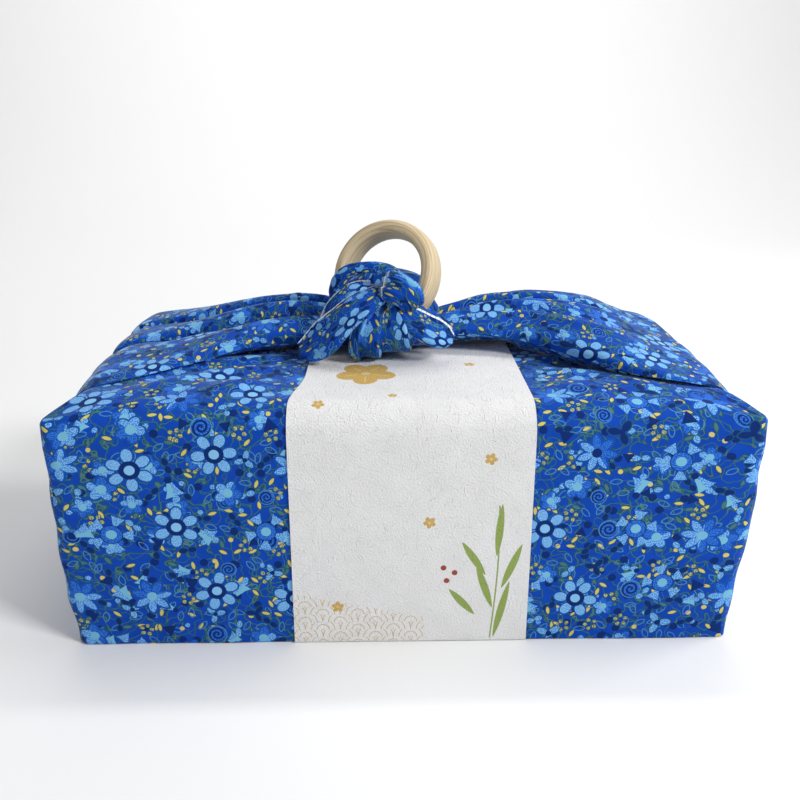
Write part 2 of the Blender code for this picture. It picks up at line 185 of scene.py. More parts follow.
def wrap_shape():
    """Points and quads of the closed outside of the wrap, and its top radius at each point."""
    xs = ticks(HALF_WIDTH, CORNER_RADIUS, 118)
    ys = ticks(HALF_DEPTH, CORNER_RADIUS, 70)
    rim = [(x, -HALF_DEPTH) for x in xs[:-1]] + [(HALF_WIDTH, y) for y in ys[:-1]]
    rim += [(x, HALF_DEPTH) for x in xs[:0:-1]] + [(-HALF_WIDTH, y) for y in ys[:0:-1]]
    rim = np.array(rim)
    lows = np.radians(np.linspace(0.0, 90.0, 6))
    highs = np.radians(np.linspace(0.0, 90.0, 12))
    levels = [(BOTTOM_RADIUS * (1 - math.sin(a)), BOTTOM_RADIUS * (1 - math.cos(a)))
              for a in lows]
    levels += [(0.0, z) for z in np.linspace(BOTTOM_RADIUS, HEIGHT - TOP_RADIUS, 42)[1:-1]]
    levels += [(TOP_RADIUS * (1 - math.cos(a)), HEIGHT - TOP_RADIUS * (1 - math.sin(a)))
               for a in highs]
    points = []
    radii = []
    for inset, z in levels:
        placed, radius = at_level(rim, inset, z)
        points += placed
        radii += radius
    count = len(rim)
    quads = [(r * count + i, r * count + (i + 1) % count,
              (r + 1) * count + (i + 1) % count, (r + 1) * count + i)
             for r in range(len(levels) - 1) for i in range(count)]
    for level in (0, len(levels) - 1):
        grid = np.full((len(ys), len(xs)), -1)
        inset, z = levels[level]
        for i in range(count):
            column = int(np.argmin(np.abs(xs - rim[i, 0])))
            row = int(np.argmin(np.abs(ys - rim[i, 1])))
            grid[row, column] = level * count + i
        inner = np.argwhere(grid < 0)
        grid[grid < 0] = np.arange(len(inner)) + len(points)
        placed, radius = at_level(np.stack([xs[inner[:, 1]], ys[inner[:, 0]]], axis=1), inset, z)
        points += placed
        radii += radius
        for row in range(len(ys) - 1):
            for column in range(len(xs) - 1):
                quad = (grid[row, column], grid[row, column + 1],
                        grid[row + 1, column + 1], grid[row + 1, column])
                quads.append(quad[::-1] if level == 0 else quad)
    return np.array(points), np.array(quads), np.array(radii)


def cloth_places(points, quads, radii):
    """Where each corner of each quad lies on the flat cloth, in millimetres."""
    corners = points[quads]
    radius = radii[quads]
    x, y, z = np.moveaxis(corners, 2, 0)
    normal = np.cross(corners[:, 2] - corners[:, 0], corners[:, 3] - corners[:, 1])
    normal /= np.maximum(np.linalg.norm(normal, axis=1, keepdims=True), 1e-9)
    on_top = normal[:, 2:] > 0.75
    below = normal[:, 2:] < -0.75
    on_side = (np.abs(normal[:, :1]) > 0.7) & ~on_top & ~below
    from_front = y.mean(axis=1, keepdims=True) < np.where(on_top, FLAP_SEAM, 0.0)
    inward = HALF_DEPTH + np.where(from_front, y, -y)
    edge = HEIGHT - radius
    bend = radius * np.arccos(np.clip(1.0 - inward / radius, -1.0, 1.0))
    over = radius * (0.5 * math.pi - 1.0) + inward
    rise = radius * np.arcsin(np.clip((z - edge) / radius, 0.0, 1.0))
    u = np.where(on_side, np.sign(x) * (HALF_WIDTH + HALF_DEPTH - np.abs(y)), x)
    v = np.where(on_top, edge + np.where(inward < radius, bend, over),
                 np.where(below, -inward, np.minimum(z, edge) + rise))
    return np.stack([np.where(from_front, u, BACK_CLOTH - u), v], axis=2)


def make_piece(name, points, quads, places, hems=None):
    """A mesh object from points and quads, with its place on the cloth as its first UV map."""
    mesh = bpy.data.meshes.new(name)
    mesh.from_pydata((np.asarray(points) * MM).tolist(), [], np.asarray(quads).tolist())
    layer = mesh.uv_layers.new(name="cloth")
    layer.uv.foreach_set("vector", np.asarray(places, np.float32).ravel())
    hem_layer = mesh.uv_layers.new(name="hem")
    if hems is None:
        hems = np.full(np.shape(places), 50.0)
    hem_layer.uv.foreach_set("vector", np.asarray(hems, np.float32).ravel())
    mesh.validate()
    mesh.shade_smooth()
    made = bpy.data.objects.new(name, mesh)
    bpy.context.scene.collection.objects.link(made)
    return made


points, quads, radii = wrap_shape()
places = cloth_places(points, quads, radii)
points = crease(flare(points))
under_band = np.abs(points[:, 0] - BAND_CENTRE) < BAND_HALF_WIDTH + 0.8
points[:, 2] = np.where(under_band, np.maximum(points[:, 2], 0.85), points[:, 2])
wrap = make_piece("cloth_wrap", points, quads, places)
lining = wrap.modifiers.new("Cloth thickness", "SOLIDIFY")
lining.thickness = CLOTH_THICKNESS * MM
lining.offset = -1.0


# The print on the cotton: small flowers, leaves, bells, spirals and seeds in light blue, navy
# and yellow on royal blue, scattered by groups of nodes. Each group works in millimetres on
# the flat cloth, so the print runs over the folds at its real size.
def colour(red, green, blue):
    """A colour given in screen values, made linear."""
    values = []
    for part in (red, green, blue):
        share = part / 255.0
        values.append(share / 12.92 if share <= 0.04045 else ((share + 0.055) / 1.055) ** 2.4)
    return (*values, 1.0)


class Sums:
    """Short calls that add maths nodes to a node tree and hand back their outputs."""

    def __init__(self, tree):
        self.tree = tree

    def feed(self, socket, value):
        if isinstance(value, bpy.types.NodeSocket):
            self.tree.links.new(value, socket)
        else:
            socket.default_value = value

    def node(self, kind, **settings):
        made = self.tree.nodes.new(kind)
        for key, value in settings.items():
            setattr(made, key, value)
        return made

    def maths(self, operation, a, b=0.0, c=0.0):
        made = self.node("ShaderNodeMath", operation=operation)
        for socket, value in zip(made.inputs, (a, b, c)):
            self.feed(socket, value)
        return made.outputs[0]

    def add(self, a, b):
        return self.maths("ADD", a, b)

    def take(self, a, b):
        return self.maths("SUBTRACT", a, b)

    def times(self, a, b):
        return self.maths("MULTIPLY", a, b)

    def less(self, a, b):
        return self.maths("LESS_THAN", a, b)

    def most(self, a, b):
        return self.maths("MAXIMUM", a, b)

    def between(self, value, low, high):
        return self.times(self.less(low, value), self.less(value, high))

    def vector(self, operation, a, b=(0.0, 0.0, 0.0)):
        made = self.node("ShaderNodeVectorMath", operation=operation)
        self.feed(made.inputs[0], a)
        self.feed(made.inputs[1], b)
        return made.outputs["Value" if operation == "LENGTH" else "Vector"]

    def parts(self, vector):
        made = self.node("ShaderNodeSeparateXYZ")
        self.feed(made.inputs[0], vector)
        return made.outputs

    def join(self, x, y, z=0.0):
        made = self.node("ShaderNodeCombineXYZ")
        for socket, value in zip(made.inputs, (x, y, z)):
            self.feed(socket, value)
        return made.outputs[0]

    def noise(self, vector, scale, detail=2.0, roughness=0.5):
        made = self.node("ShaderNodeTexNoise")
        self.feed(made.inputs["Vector"], vector)
        self.feed(made.inputs["Scale"], scale)
        made.inputs["Detail"].default_value = detail
        made.inputs["Roughness"].default_value = roughness
        return made.outputs[0]

    def mix(self, share, under, over):
        made = self.node("ShaderNodeMix", data_type="RGBA")
        self.feed(made.inputs[0], share)
        self.feed(made.inputs[6], under)
        self.feed(made.inputs[7], over)
        return made.outputs[2]

    def group(self, tree, **values):
        made = self.node("ShaderNodeGroup")
        made.node_tree = tree
        for key, value in values.items():
            self.feed(made.inputs[key.replace("_", " ").capitalize()], value)
        return made.outputs


def node_group(name, inputs, outputs):
    """An empty node group; inputs and outputs are names with Float, Vector or Color."""
    tree = bpy.data.node_groups.new(name, "ShaderNodeTree")
    for title, kind in inputs:
        tree.interface.new_socket(title, in_out="INPUT", socket_type="NodeSocket" + kind)
    for title, kind in outputs:
        tree.interface.new_socket(title, in_out="OUTPUT", socket_type="NodeSocket" + kind)
    start = tree.nodes.new("NodeGroupInput")
    end = tree.nodes.new("NodeGroupOutput")
    return tree, Sums(tree), start.outputs, end.inputs


def scatter_group():
    """Splits the cloth into staggered places, one motif in each, turned and nudged by chance."""
    tree, sums, given, out = node_group(
        "Scattered places",
        [("Place", "Vector"), ("Cell", "Float"), ("Nudge", "Float"), ("Seed", "Float")],
        [("Local", "Vector"), ("Pick", "Float"), ("Tint", "Float")])
    shift = sums.join(sums.times(given["Seed"], 37.3), sums.times(given["Seed"], 19.7))
    x, y, _ = sums.parts(sums.vector("ADD", given["Place"], shift))
    x = sums.maths("DIVIDE", x, given["Cell"])
    y = sums.maths("DIVIDE", y, given["Cell"])
    row = sums.maths("FLOOR", y)
    x = sums.add(x, sums.times(row, 0.5))
    column = sums.maths("FLOOR", x)
    chance = sums.node("ShaderNodeTexWhiteNoise", noise_dimensions="3D")
    sums.feed(chance.inputs["Vector"], sums.join(column, row, given["Seed"]))
    red, green, blue = sums.parts(chance.outputs["Color"])
    near_x = sums.take(sums.take(sums.take(x, column), 0.5),
                       sums.times(sums.take(red, 0.5), given["Nudge"]))
    near_y = sums.take(sums.take(sums.take(y, row), 0.5),
                       sums.times(sums.take(green, 0.5), given["Nudge"]))
    turn = sums.node("ShaderNodeVectorRotate", rotation_type="Z_AXIS")
    sums.feed(turn.inputs["Vector"],
              sums.join(sums.times(near_x, given["Cell"]), sums.times(near_y, given["Cell"])))
    sums.feed(turn.inputs["Angle"], sums.times(blue, 2.0 * math.pi))
    sums.feed(out["Local"], turn.outputs[0])
    sums.feed(out["Pick"], chance.outputs["Value"])
    sums.feed(out["Tint"], sums.maths("FRACT", sums.times(chance.outputs["Value"], 61.7)))
    return tree


def petals_group():
    """Petals set round a middle: how far each point is outside them, 0 or less within."""
    tree, sums, given, out = node_group(
        "Petals",
        [("Local", "Vector"), ("Count", "Float"), ("Middle", "Float"), ("Long", "Float"),
         ("Wide", "Float"), ("Round", "Float")],
        [("Outside", "Float"), ("Along", "Float"), ("Side", "Float"), ("Radius", "Float"),
         ("Angle", "Float")])
    x, y, _ = sums.parts(given["Local"])
    radius = sums.vector("LENGTH", given["Local"])
    angle = sums.maths("ARCTAN2", y, x)
    turns = sums.times(angle, sums.maths("DIVIDE", given["Count"], 2.0 * math.pi))
    share = sums.take(turns, sums.maths("FLOOR", sums.add(turns, 0.5)))
    sector = sums.times(share, sums.maths("DIVIDE", 2.0 * math.pi, given["Count"]))
    along = sums.times(radius, sums.maths("COSINE", sector))
    side = sums.maths("ABSOLUTE", sums.times(radius, sums.maths("SINE", sector)))
    first = sums.maths("POWER", sums.maths("DIVIDE", side, given["Wide"]), given["Round"])
    second = sums.maths("DIVIDE", sums.take(along, given["Middle"]), given["Long"])
    sums.feed(out["Outside"], sums.take(sums.add(first, sums.times(second, second)), 1.0))
    for name, value in (("Along", along), ("Side", side), ("Radius", radius),
                        ("Angle", angle)):
        sums.feed(out[name], value)
    return tree


SCATTER = scatter_group()
PETALS = petals_group()
ROYAL = colour(8, 71, 181)
ROYAL_DEEP = colour(5, 57, 151)
LIGHT_BLUE = colour(126, 184, 226)
STIPPLE_BLUE = colour(54, 118, 200)
AQUA = colour(112, 176, 206)
NAVY = colour(4, 40, 106)
YELLOW = colour(200, 186, 104)
OLIVE = colour(70, 112, 112)
VINE = colour(26, 78, 112)
PALE_LINE = colour(72, 128, 170)
HEM_WHITE = colour(225, 232, 240)


def print_group():
    """The whole print, from a place on the cloth in millimetres to its colour."""
    tree, sums, given, out = node_group("Floral print", [("Place", "Vector")],
                                        [("Color", "Color")])
    place = given["Place"]
    speckle = sums.less(sums.noise(place, 2.0, 1.0), 0.5)
    stippled = sums.mix(speckle, STIPPLE_BLUE, LIGHT_BLUE)
    dark_stipple = sums.mix(speckle, ROYAL, STIPPLE_BLUE)
    ground = sums.mix(sums.noise(place, 0.12, 2.0), ROYAL, ROYAL_DEEP)

    for shift, scale in ((0.0, 0.105), (61.0, 0.13)):
        wander = sums.maths("ABSOLUTE", sums.take(sums.noise(
            sums.vector("ADD", place, (shift, shift, shift)), scale, 1.3), 0.5))
        ground = sums.mix(sums.less(wander, 0.019), ground, VINE)
        ground = sums.mix(sums.less(wander, 0.006), ground, OLIVE)

    # Seeds, dots and outlined leaves in the gaps.
    for seed, cell in ((1.0, 6.4), (2.0, 8.6)):
        local, pick, tint = sums.group(SCATTER, place=place, cell=cell, nudge=0.5, seed=seed)
        leaf = sums.group(PETALS, local=local, count=1.0, middle=0.0, long=1.9, wide=0.75,
                          round=1.3)
        radius = leaf["Radius"]
        seed_mask = sums.times(sums.less(leaf["Outside"], 0.0), sums.less(pick, 0.26))
        rim = sums.times(sums.less(leaf["Outside"], 0.9), sums.less(pick, 0.26))
        dot = sums.times(sums.less(radius, 1.1), sums.between(pick, 0.26, 0.36))
        dark = sums.times(sums.less(radius, 1.8), sums.between(pick, 0.36, 0.5))
        outline = sums.times(sums.between(leaf["Outside"], 0.4, 1.2),
                             sums.between(pick, 0.5, 0.78))
        ground = sums.mix(rim, ground, VINE)
        ground = sums.mix(seed_mask, ground, sums.mix(sums.less(tint, 0.75), OLIVE, YELLOW))
        ground = sums.mix(dot, ground, sums.mix(sums.less(tint, 0.45), stippled, YELLOW))
        ground = sums.mix(dark, ground, NAVY)
        ground = sums.mix(outline, ground, PALE_LINE)

    # Rings of five yellow dots, stippled buds and pairs of navy leaves.
    local, pick, tint = sums.group(SCATTER, place=place, cell=13.5, nudge=0.3, seed=4.0)
    ring = sums.group(PETALS, local=local, count=5.0, middle=2.3, long=0.95, wide=0.85,
                      round=2.0)
    bud = sums.group(PETALS, local=local, count=2.0, middle=1.9, long=1.8, wide=1.25,
                     round=1.6)
    yellow = sums.times(sums.less(ring["Outside"], 0.0), sums.less(pick, 0.26))
    clear = sums.times(sums.less(ring["Outside"], 0.9), sums.less(pick, 0.26))
    light = sums.times(sums.less(bud["Outside"], 0.0), sums.between(pick, 0.26, 0.5))
    navy = sums.times(sums.less(bud["Outside"], 0.0), sums.between(pick, 0.5, 0.8))
    edge = sums.times(sums.less(bud["Outside"], 0.45), sums.between(pick, 0.26, 0.8))
    ground = sums.mix(clear, ground, VINE)
    ground = sums.mix(yellow, ground, sums.mix(speckle, OLIVE, YELLOW))
    ground = sums.mix(edge, ground, VINE)
    ground = sums.mix(light, ground, stippled)
    ground = sums.mix(navy, ground, NAVY)

    # Small flowers, bells, spirals, triangles and three-leaved sprigs.
    for seed, cell, size in ((5.0, 18.0, 1.4), (8.0, 25.0, 1.08)):
        local, pick, tint = sums.group(SCATTER, place=place, cell=cell, nudge=0.34, seed=seed)
        local = sums.vector("MULTIPLY", local, (size, size, 1.0))
        x, y, _ = sums.parts(local)
        five = sums.group(PETALS, local=local, count=5.0, middle=3.6, long=2.7, wide=2.1,
                          round=2.0)
        radius = five["Radius"]
        flower = sums.between(pick, 0.0, 0.34)
        ground = sums.mix(sums.times(sums.less(five["Outside"], 0.75), flower), ground, VINE)
        ground = sums.mix(sums.times(sums.less(five["Outside"], 0.4), flower), ground, ROYAL)
        petals = sums.times(sums.less(five["Outside"], 0.0), flower)
        half = sums.less(sums.maths("FRACT", sums.add(
            sums.maths("DIVIDE", five["Angle"], 2.0 * math.pi), tint)), 0.5)
        ground = sums.mix(petals, ground, sums.mix(half, dark_stipple, stippled))
        ground = sums.mix(sums.times(sums.less(radius, 2.2), flower), ground, AQUA)

        bell = sums.between(pick, 0.34, 0.5)
        skirt = sums.add(1.9, sums.times(0.085, sums.maths("POWER", sums.maths(
            "MAXIMUM", sums.take(2.5, y), 0.0), 1.9)))
        crown = sums.maths("SQRT", sums.maths("MAXIMUM", sums.take(
            1.0, sums.maths("POWER", sums.maths("DIVIDE", sums.maths(
                "MAXIMUM", sums.take(y, 0.5), 0.0), 3.6), 2.0)), 0.0))
        inside = sums.times(sums.less(sums.maths("ABSOLUTE", x), sums.times(skirt, crown)),
                            sums.less(-3.6, y))
        shell = sums.times(inside, bell)
        clapper = sums.less(sums.vector("LENGTH", sums.vector(
            "ADD", local, (0.0, 5.0, 0.0))), 1.6)
        ground = sums.mix(sums.times(clapper, bell), ground, stippled)
        ground = sums.mix(shell, ground, sums.mix(sums.less(x, 0.0), stippled, AQUA))
        knob = sums.less(sums.vector("LENGTH", sums.vector(
            "ADD", local, (0.0, -4.9, 0.0))), 1.7)
        ground = sums.mix(sums.times(knob, bell), ground, NAVY)

        curl = sums.between(pick, 0.5, 0.66)
        winding = sums.less(sums.maths("FRACT", sums.take(
            sums.maths("DIVIDE", radius, 2.1),
            sums.maths("DIVIDE", five["Angle"], 2.0 * math.pi))), 0.5)
        disc = sums.times(sums.less(radius, 4.4), curl)
        ground = sums.mix(disc, ground, sums.mix(winding, dark_stipple, NAVY))
        ground = sums.mix(sums.times(sums.between(radius, 4.4, 4.9), curl), ground, PALE_LINE)

        three = sums.group(PETALS, local=local, count=3.0, middle=3.4, long=3.1, wide=1.7,
                           round=1.5)
        sprig = sums.between(pick, 0.66, 0.86)
        ground = sums.mix(sums.times(sums.less(three["Outside"], 0.5), sprig), ground, VINE)
        ground = sums.mix(sums.times(sums.less(three["Outside"], 0.0), sprig), ground,
                          sums.mix(sums.less(tint, 0.4), NAVY, stippled))
        ground = sums.mix(sums.times(sums.less(radius, 1.5), sprig), ground, NAVY)

        wedge = sums.less(0.86, pick)
        ground = sums.mix(sums.times(sums.less(three["Along"], 2.1), wedge), ground, NAVY)

    # Large flowers: round petals with a navy ring, pointed daisies and starry ones.
    local, pick, tint = sums.group(SCATTER, place=place, cell=32.0, nudge=0.3, seed=6.0)
    local = sums.vector("MULTIPLY", local, (1.06, 1.06, 1.0))
    six = sums.group(PETALS, local=local, count=6.0, middle=7.0, long=3.1, wide=2.35, round=2.1)
    pointed = sums.group(PETALS, local=local, count=7.0, middle=5.1, long=3.9, wide=1.75,
                         round=1.35)
    star = sums.group(PETALS, local=local, count=5.0, middle=6.2, long=3.4, wide=3.0, round=2.0)
    radius = six["Radius"]
    ringed = sums.less(pick, 0.38)
    daisy = sums.between(pick, 0.38, 0.72)
    starry = sums.less(0.72, pick)
    ground = sums.mix(sums.times(sums.less(six["Outside"], 0.62), ringed), ground, VINE)
    ground = sums.mix(sums.times(sums.less(six["Outside"], 0.36), ringed), ground, ROYAL)
    ground = sums.mix(sums.times(sums.less(six["Outside"], 0.0), ringed), ground,
                      sums.mix(0.4, stippled, LIGHT_BLUE))
    ground = sums.mix(sums.times(sums.less(radius, 4.4), ringed), ground, NAVY)
    ground = sums.mix(sums.times(sums.less(radius, 2.3), ringed), ground, LIGHT_BLUE)
    ground = sums.mix(sums.times(sums.less(pointed["Outside"], 0.8), daisy), ground, VINE)
    ground = sums.mix(sums.times(sums.less(pointed["Outside"], 0.5), daisy), ground, ROYAL)
    half = sums.less(sums.maths("FRACT", sums.add(
        sums.maths("DIVIDE", six["Angle"], 2.0 * math.pi), tint)), 0.5)
    ground = sums.mix(sums.times(sums.less(pointed["Outside"], 0.0), daisy), ground,
                      sums.mix(half, dark_stipple, stippled))
    ground = sums.mix(sums.times(sums.less(radius, 2.3), daisy), ground,
                      sums.mix(sums.less(tint, 0.5), NAVY, AQUA))
    narrow = sums.take(sums.times(sums.take(star["Along"], 3.2), 0.5), star["Side"])
    flank = sums.times(sums.less(0.0, narrow), sums.less(star["Along"], 9.2))
    ground = sums.mix(sums.times(flank, starry), ground, stippled)
    ground = sums.mix(sums.times(sums.less(radius, 4.9), starry), ground, dark_stipple)
    ground = sums.mix(sums.times(sums.between(radius, 4.5, 4.9), starry), ground, NAVY)
    ground = sums.mix(sums.times(sums.less(radius, 2.3), starry), ground, AQUA)
    sums.feed(out["Color"], ground)
    return tree


def weave_group():
    """Plain weave of warp and weft and the cotton's soft crumple, as a height."""
    tree, sums, given, out = node_group("Plain weave", [("Place", "Vector"), ("Pitch", "Float")],
                                        [("Height", "Float"), ("Crumple", "Float")])
    turn = sums.node("ShaderNodeVectorRotate", rotation_type="Z_AXIS")
    sums.feed(turn.inputs["Vector"], given["Place"])
    turn.inputs["Angle"].default_value = math.radians(45.0)
    x, y, _ = sums.parts(turn.outputs[0])
    wave_x = sums.maths("SINE", sums.maths("DIVIDE", x, given["Pitch"]))
    wave_y = sums.maths("SINE", sums.maths("DIVIDE", y, given["Pitch"]))
    sums.feed(out["Height"], sums.times(wave_x, wave_y))
    sums.feed(out["Crumple"], sums.noise(given["Place"], 0.06, 4.0, 0.55))
    return tree


PRINT = print_group()
WEAVE = weave_group()


def cotton_material():
    material = bpy.data.materials.new("printed cotton")
    material.use_nodes = True
    sums = Sums(material.node_tree)
    shader = material.node_tree.nodes["Principled BSDF"]
    place = sums.node("ShaderNodeUVMap", uv_map="cloth").outputs[0]
    hem = sums.parts(sums.node("ShaderNodeUVMap", uv_map="hem").outputs[0])
    printed = sums.group(PRINT, place=place)["Color"]
    weave = sums.group(WEAVE, place=place, pitch=0.09)
    seam = sums.between(hem[0], 1.6, 2.7)
    stitch = sums.less(sums.maths("FRACT", sums.maths("DIVIDE", hem[1], 2.6)), 0.9)
    worn = sums.less(hem[0], 0.5)
    printed = sums.mix(sums.times(seam, stitch), printed, HEM_WHITE)
    printed = sums.mix(sums.times(worn, 0.45), printed, HEM_WHITE)
    sums.feed(shader.inputs["Base Color"], printed)
    shader.inputs["Roughness"].default_value = 0.82
    shader.inputs["Specular IOR Level"].default_value = 0.12
    shader.inputs["Sheen Weight"].default_value = 0.22
    shader.inputs["Sheen Roughness"].default_value = 0.3
    shader.inputs["Sheen Tint"].default_value = (0.75, 0.92, 1.0, 1.0)
    fine = sums.node("ShaderNodeBump")
    fine.inputs["Strength"].default_value = 0.25
    fine.inputs["Distance"].default_value = 0.00008
    sums.feed(fine.inputs["Height"], weave["Height"])
    soft = sums.node("ShaderNodeBump")
    soft.inputs["Strength"].default_value = 0.5
    soft.inputs["Distance"].default_value = 0.0022
    sums.feed(soft.inputs["Height"], weave["Crumple"])
    sums.feed(soft.inputs["Normal"], fine.outputs[0])
    sums.feed(shader.inputs["Normal"], soft.outputs[0])
    return material


COTTON = cotton_material()
wrap.data.materials.append(COTTON)
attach(wrap, "root")
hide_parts("cloth")

# The wings: the left and right corners of the same cloth, gathered into rolls that lap over
# each other from front to back and narrow towards the knot. Low on the side faces they lie
# flat, and on the top their front edges stand a little clear of the flap below.
SUNK = -0.9
OVER_BAND = 1.3
LIP_TUCK = 8.0
LIP_TUCK_PER_LIFT = 2.0
LEFT_ROLLS = (
    # across, rise, roll
    (0.00, 0.10, 0),
    (0.03, 0.46, 0),
    (0.16, 0.74, 0),
    (0.26, 0.64, 0),
    (0.315, 0.34, 0),
    (0.350, 0.08, 0),
    (0.353, 0.24, 1),
    (0.362, 0.62, 1),
    (0.390, 0.82, 1),
    (0.46, 0.93, 1),
    (0.55, 0.82, 1),
    (0.602, 0.46, 1),
    (0.634, 0.20, 1),
    (0.638, 0.38, 2),
    (0.646, 0.74, 2),
    (0.672, 0.93, 2),
    (0.76, 1.00, 2),
    (0.93, 0.62, 2),
    (1.00, 0.00, 2),
)
RIGHT_ROLLS = (
    # across, rise, roll
    (0.00, 0.12, 0),
    (0.03, 0.36, 0),
    (0.22, 0.74, 0),
    (0.43, 0.95, 0),
    (0.55, 0.88, 0),
    (0.612, 0.58, 0),
    (0.586, 0.74, 1),
    (0.620, 0.97, 1),
    (0.74, 1.00, 1),
    (0.90, 0.68, 1),
    (1.00, 0.00, 1),
)
LEFT_WING = (
    # out from the middle, up, lean from upright, front edge, back edge, lip, rise, skew, underside
    (148.6, 12.0, 90.0, -66.0, 66.0, 0.0, -0.3, 0.7, SUNK),
    (149.4, 45.0, 90.0, -72.0, 74.0, 0.0, 2.8, 0.7, SUNK),
    (150.4, 84.0, 88.0, -66.0, 80.0, 0.0, 4.2, 0.7, SUNK),
    (149.6, 104.0, 64.0, -61.0, 84.0, 0.0, 4.2, 0.7, SUNK),
    (144.0, 111.6, 34.0, -58.0, 85.0, 0.0, 4.2, 0.7, SUNK),
    (134.0, 113.5, 6.0, -54.0, 85.0, 0.0, 4.8, 0.7, SUNK),
    (118.0, 113.5, 0.0, -44.0, 84.0, 1.0, 7.5, 0.75, SUNK),
    (98.0, 113.5, 0.0, -30.0, 78.0, 2.6, 12.5, 0.85, SUNK),
    (76.0, 113.5, 0.0, -16.0, 66.0, 5.0, 18.0, 0.95, SUNK),
    (60.0, 113.5, 0.0, -12.0, 56.0, 5.6, 21.0, 1.0, SUNK),
    (52.5, 113.5, 0.0, -11.0, 52.0, 5.0, 22.0, 1.0, OVER_BAND),
    (34.0, 113.5, 0.0, -8.0, 40.0, 4.0, 21.0, 1.0, OVER_BAND),
    (14.0, 113.5, 0.0, -6.0, 24.0, 3.0, 15.0, 1.0, OVER_BAND),
)
RIGHT_WING = (
    # out from the middle, up, lean from upright, front edge, back edge, lip, rise, skew, underside
    (148.6, 12.0, 90.0, -66.0, 66.0, 0.0, -0.3, 1.0, SUNK),
    (149.4, 45.0, 90.0, -74.0, 74.0, 0.0, 2.8, 1.0, SUNK),
    (150.4, 84.0, 88.0, -70.0, 80.0, 0.0, 4.2, 1.0, SUNK),
    (149.6, 104.0, 64.0, -66.0, 84.0, 0.0, 4.2, 1.0, SUNK),
    (144.0, 111.6, 34.0, -64.0, 85.0, 0.0, 4.4, 1.0, SUNK),
    (134.0, 113.5, 6.0, -62.0, 84.0, 0.5, 6.0, 1.0, SUNK),
    (118.0, 113.5, 0.0, -59.0, 72.0, 1.6, 13.5, 1.0, SUNK),
    (102.0, 113.5, 0.0, -54.0, 58.0, 2.6, 21.5, 1.0, SUNK),
    (86.0, 113.5, 0.0, -40.0, 47.0, 4.0, 25.0, 1.0, SUNK),
    (70.0, 113.5, 0.0, -23.0, 42.0, 5.6, 25.5, 1.0, SUNK),
    (62.0, 113.5, 0.0, -17.0, 40.0, 6.6, 25.0, 1.0, SUNK),
    (57.5, 113.5, 0.0, -14.0, 38.0, 7.4, 24.5, 1.0, OVER_BAND),
    (44.0, 113.5, 0.0, -10.0, 34.0, 9.0, 23.5, 1.0, OVER_BAND),
    (30.0, 113.5, 0.0, -8.0, 27.0, 9.5, 20.5, 1.0, OVER_BAND),
    (14.0, 113.5, 0.0, -6.0, 17.0, 6.0, 17.0, 1.0, OVER_BAND),
    (2.0, 113.5, 0.0, -5.0, 9.0, 4.0, 13.0, 1.0, OVER_BAND),
)
WING_STEPS = 12
ROLL_STEPS = 10


def smooth_rows(rows, steps):
    """Catmull-Rom curve through the rows of a table, steps to a span."""
    rows = np.array(rows, dtype=float)
    padded = np.vstack([2 * rows[0] - rows[1], rows, 2 * rows[-1] - rows[-2]])
    curve = []
    for i in range(1, len(padded) - 2):
        a, b, c, d = padded[i - 1:i + 3]
        for step in range(steps):
            t = step / steps
            curve.append(0.5 * (2 * b + (c - a) * t + (2 * a - 5 * b + 4 * c - d) * t ** 2
                                + (3 * b - a - 3 * c + d) * t ** 3))
    curve.append(rows[-1])
    return np.array(curve)


def loft(name, rows, places, hems=None):
    """A closed piece from loops of points; places holds the cloth place of each quad's corners."""
    count, around = rows.shape[:2]
    quads = []
    for i in range(count - 1):
        for j in range(around):
            k = (j + 1) % around
            quads.append((i * around + j, i * around + k, (i + 1) * around + k,
                          (i + 1) * around + j))
    made = make_piece(name, rows.reshape(-1, 3), quads, places, hems)
    work = bmesh.new()
    work.from_mesh(made.data)
    bmesh.ops.holes_fill(work, edges=[edge for edge in work.edges if edge.is_boundary])
    bmesh.ops.recalc_face_normals(work, faces=work.faces)
    work.to_mesh(made.data)
    work.free()
    made.data.shade_smooth()
    return made


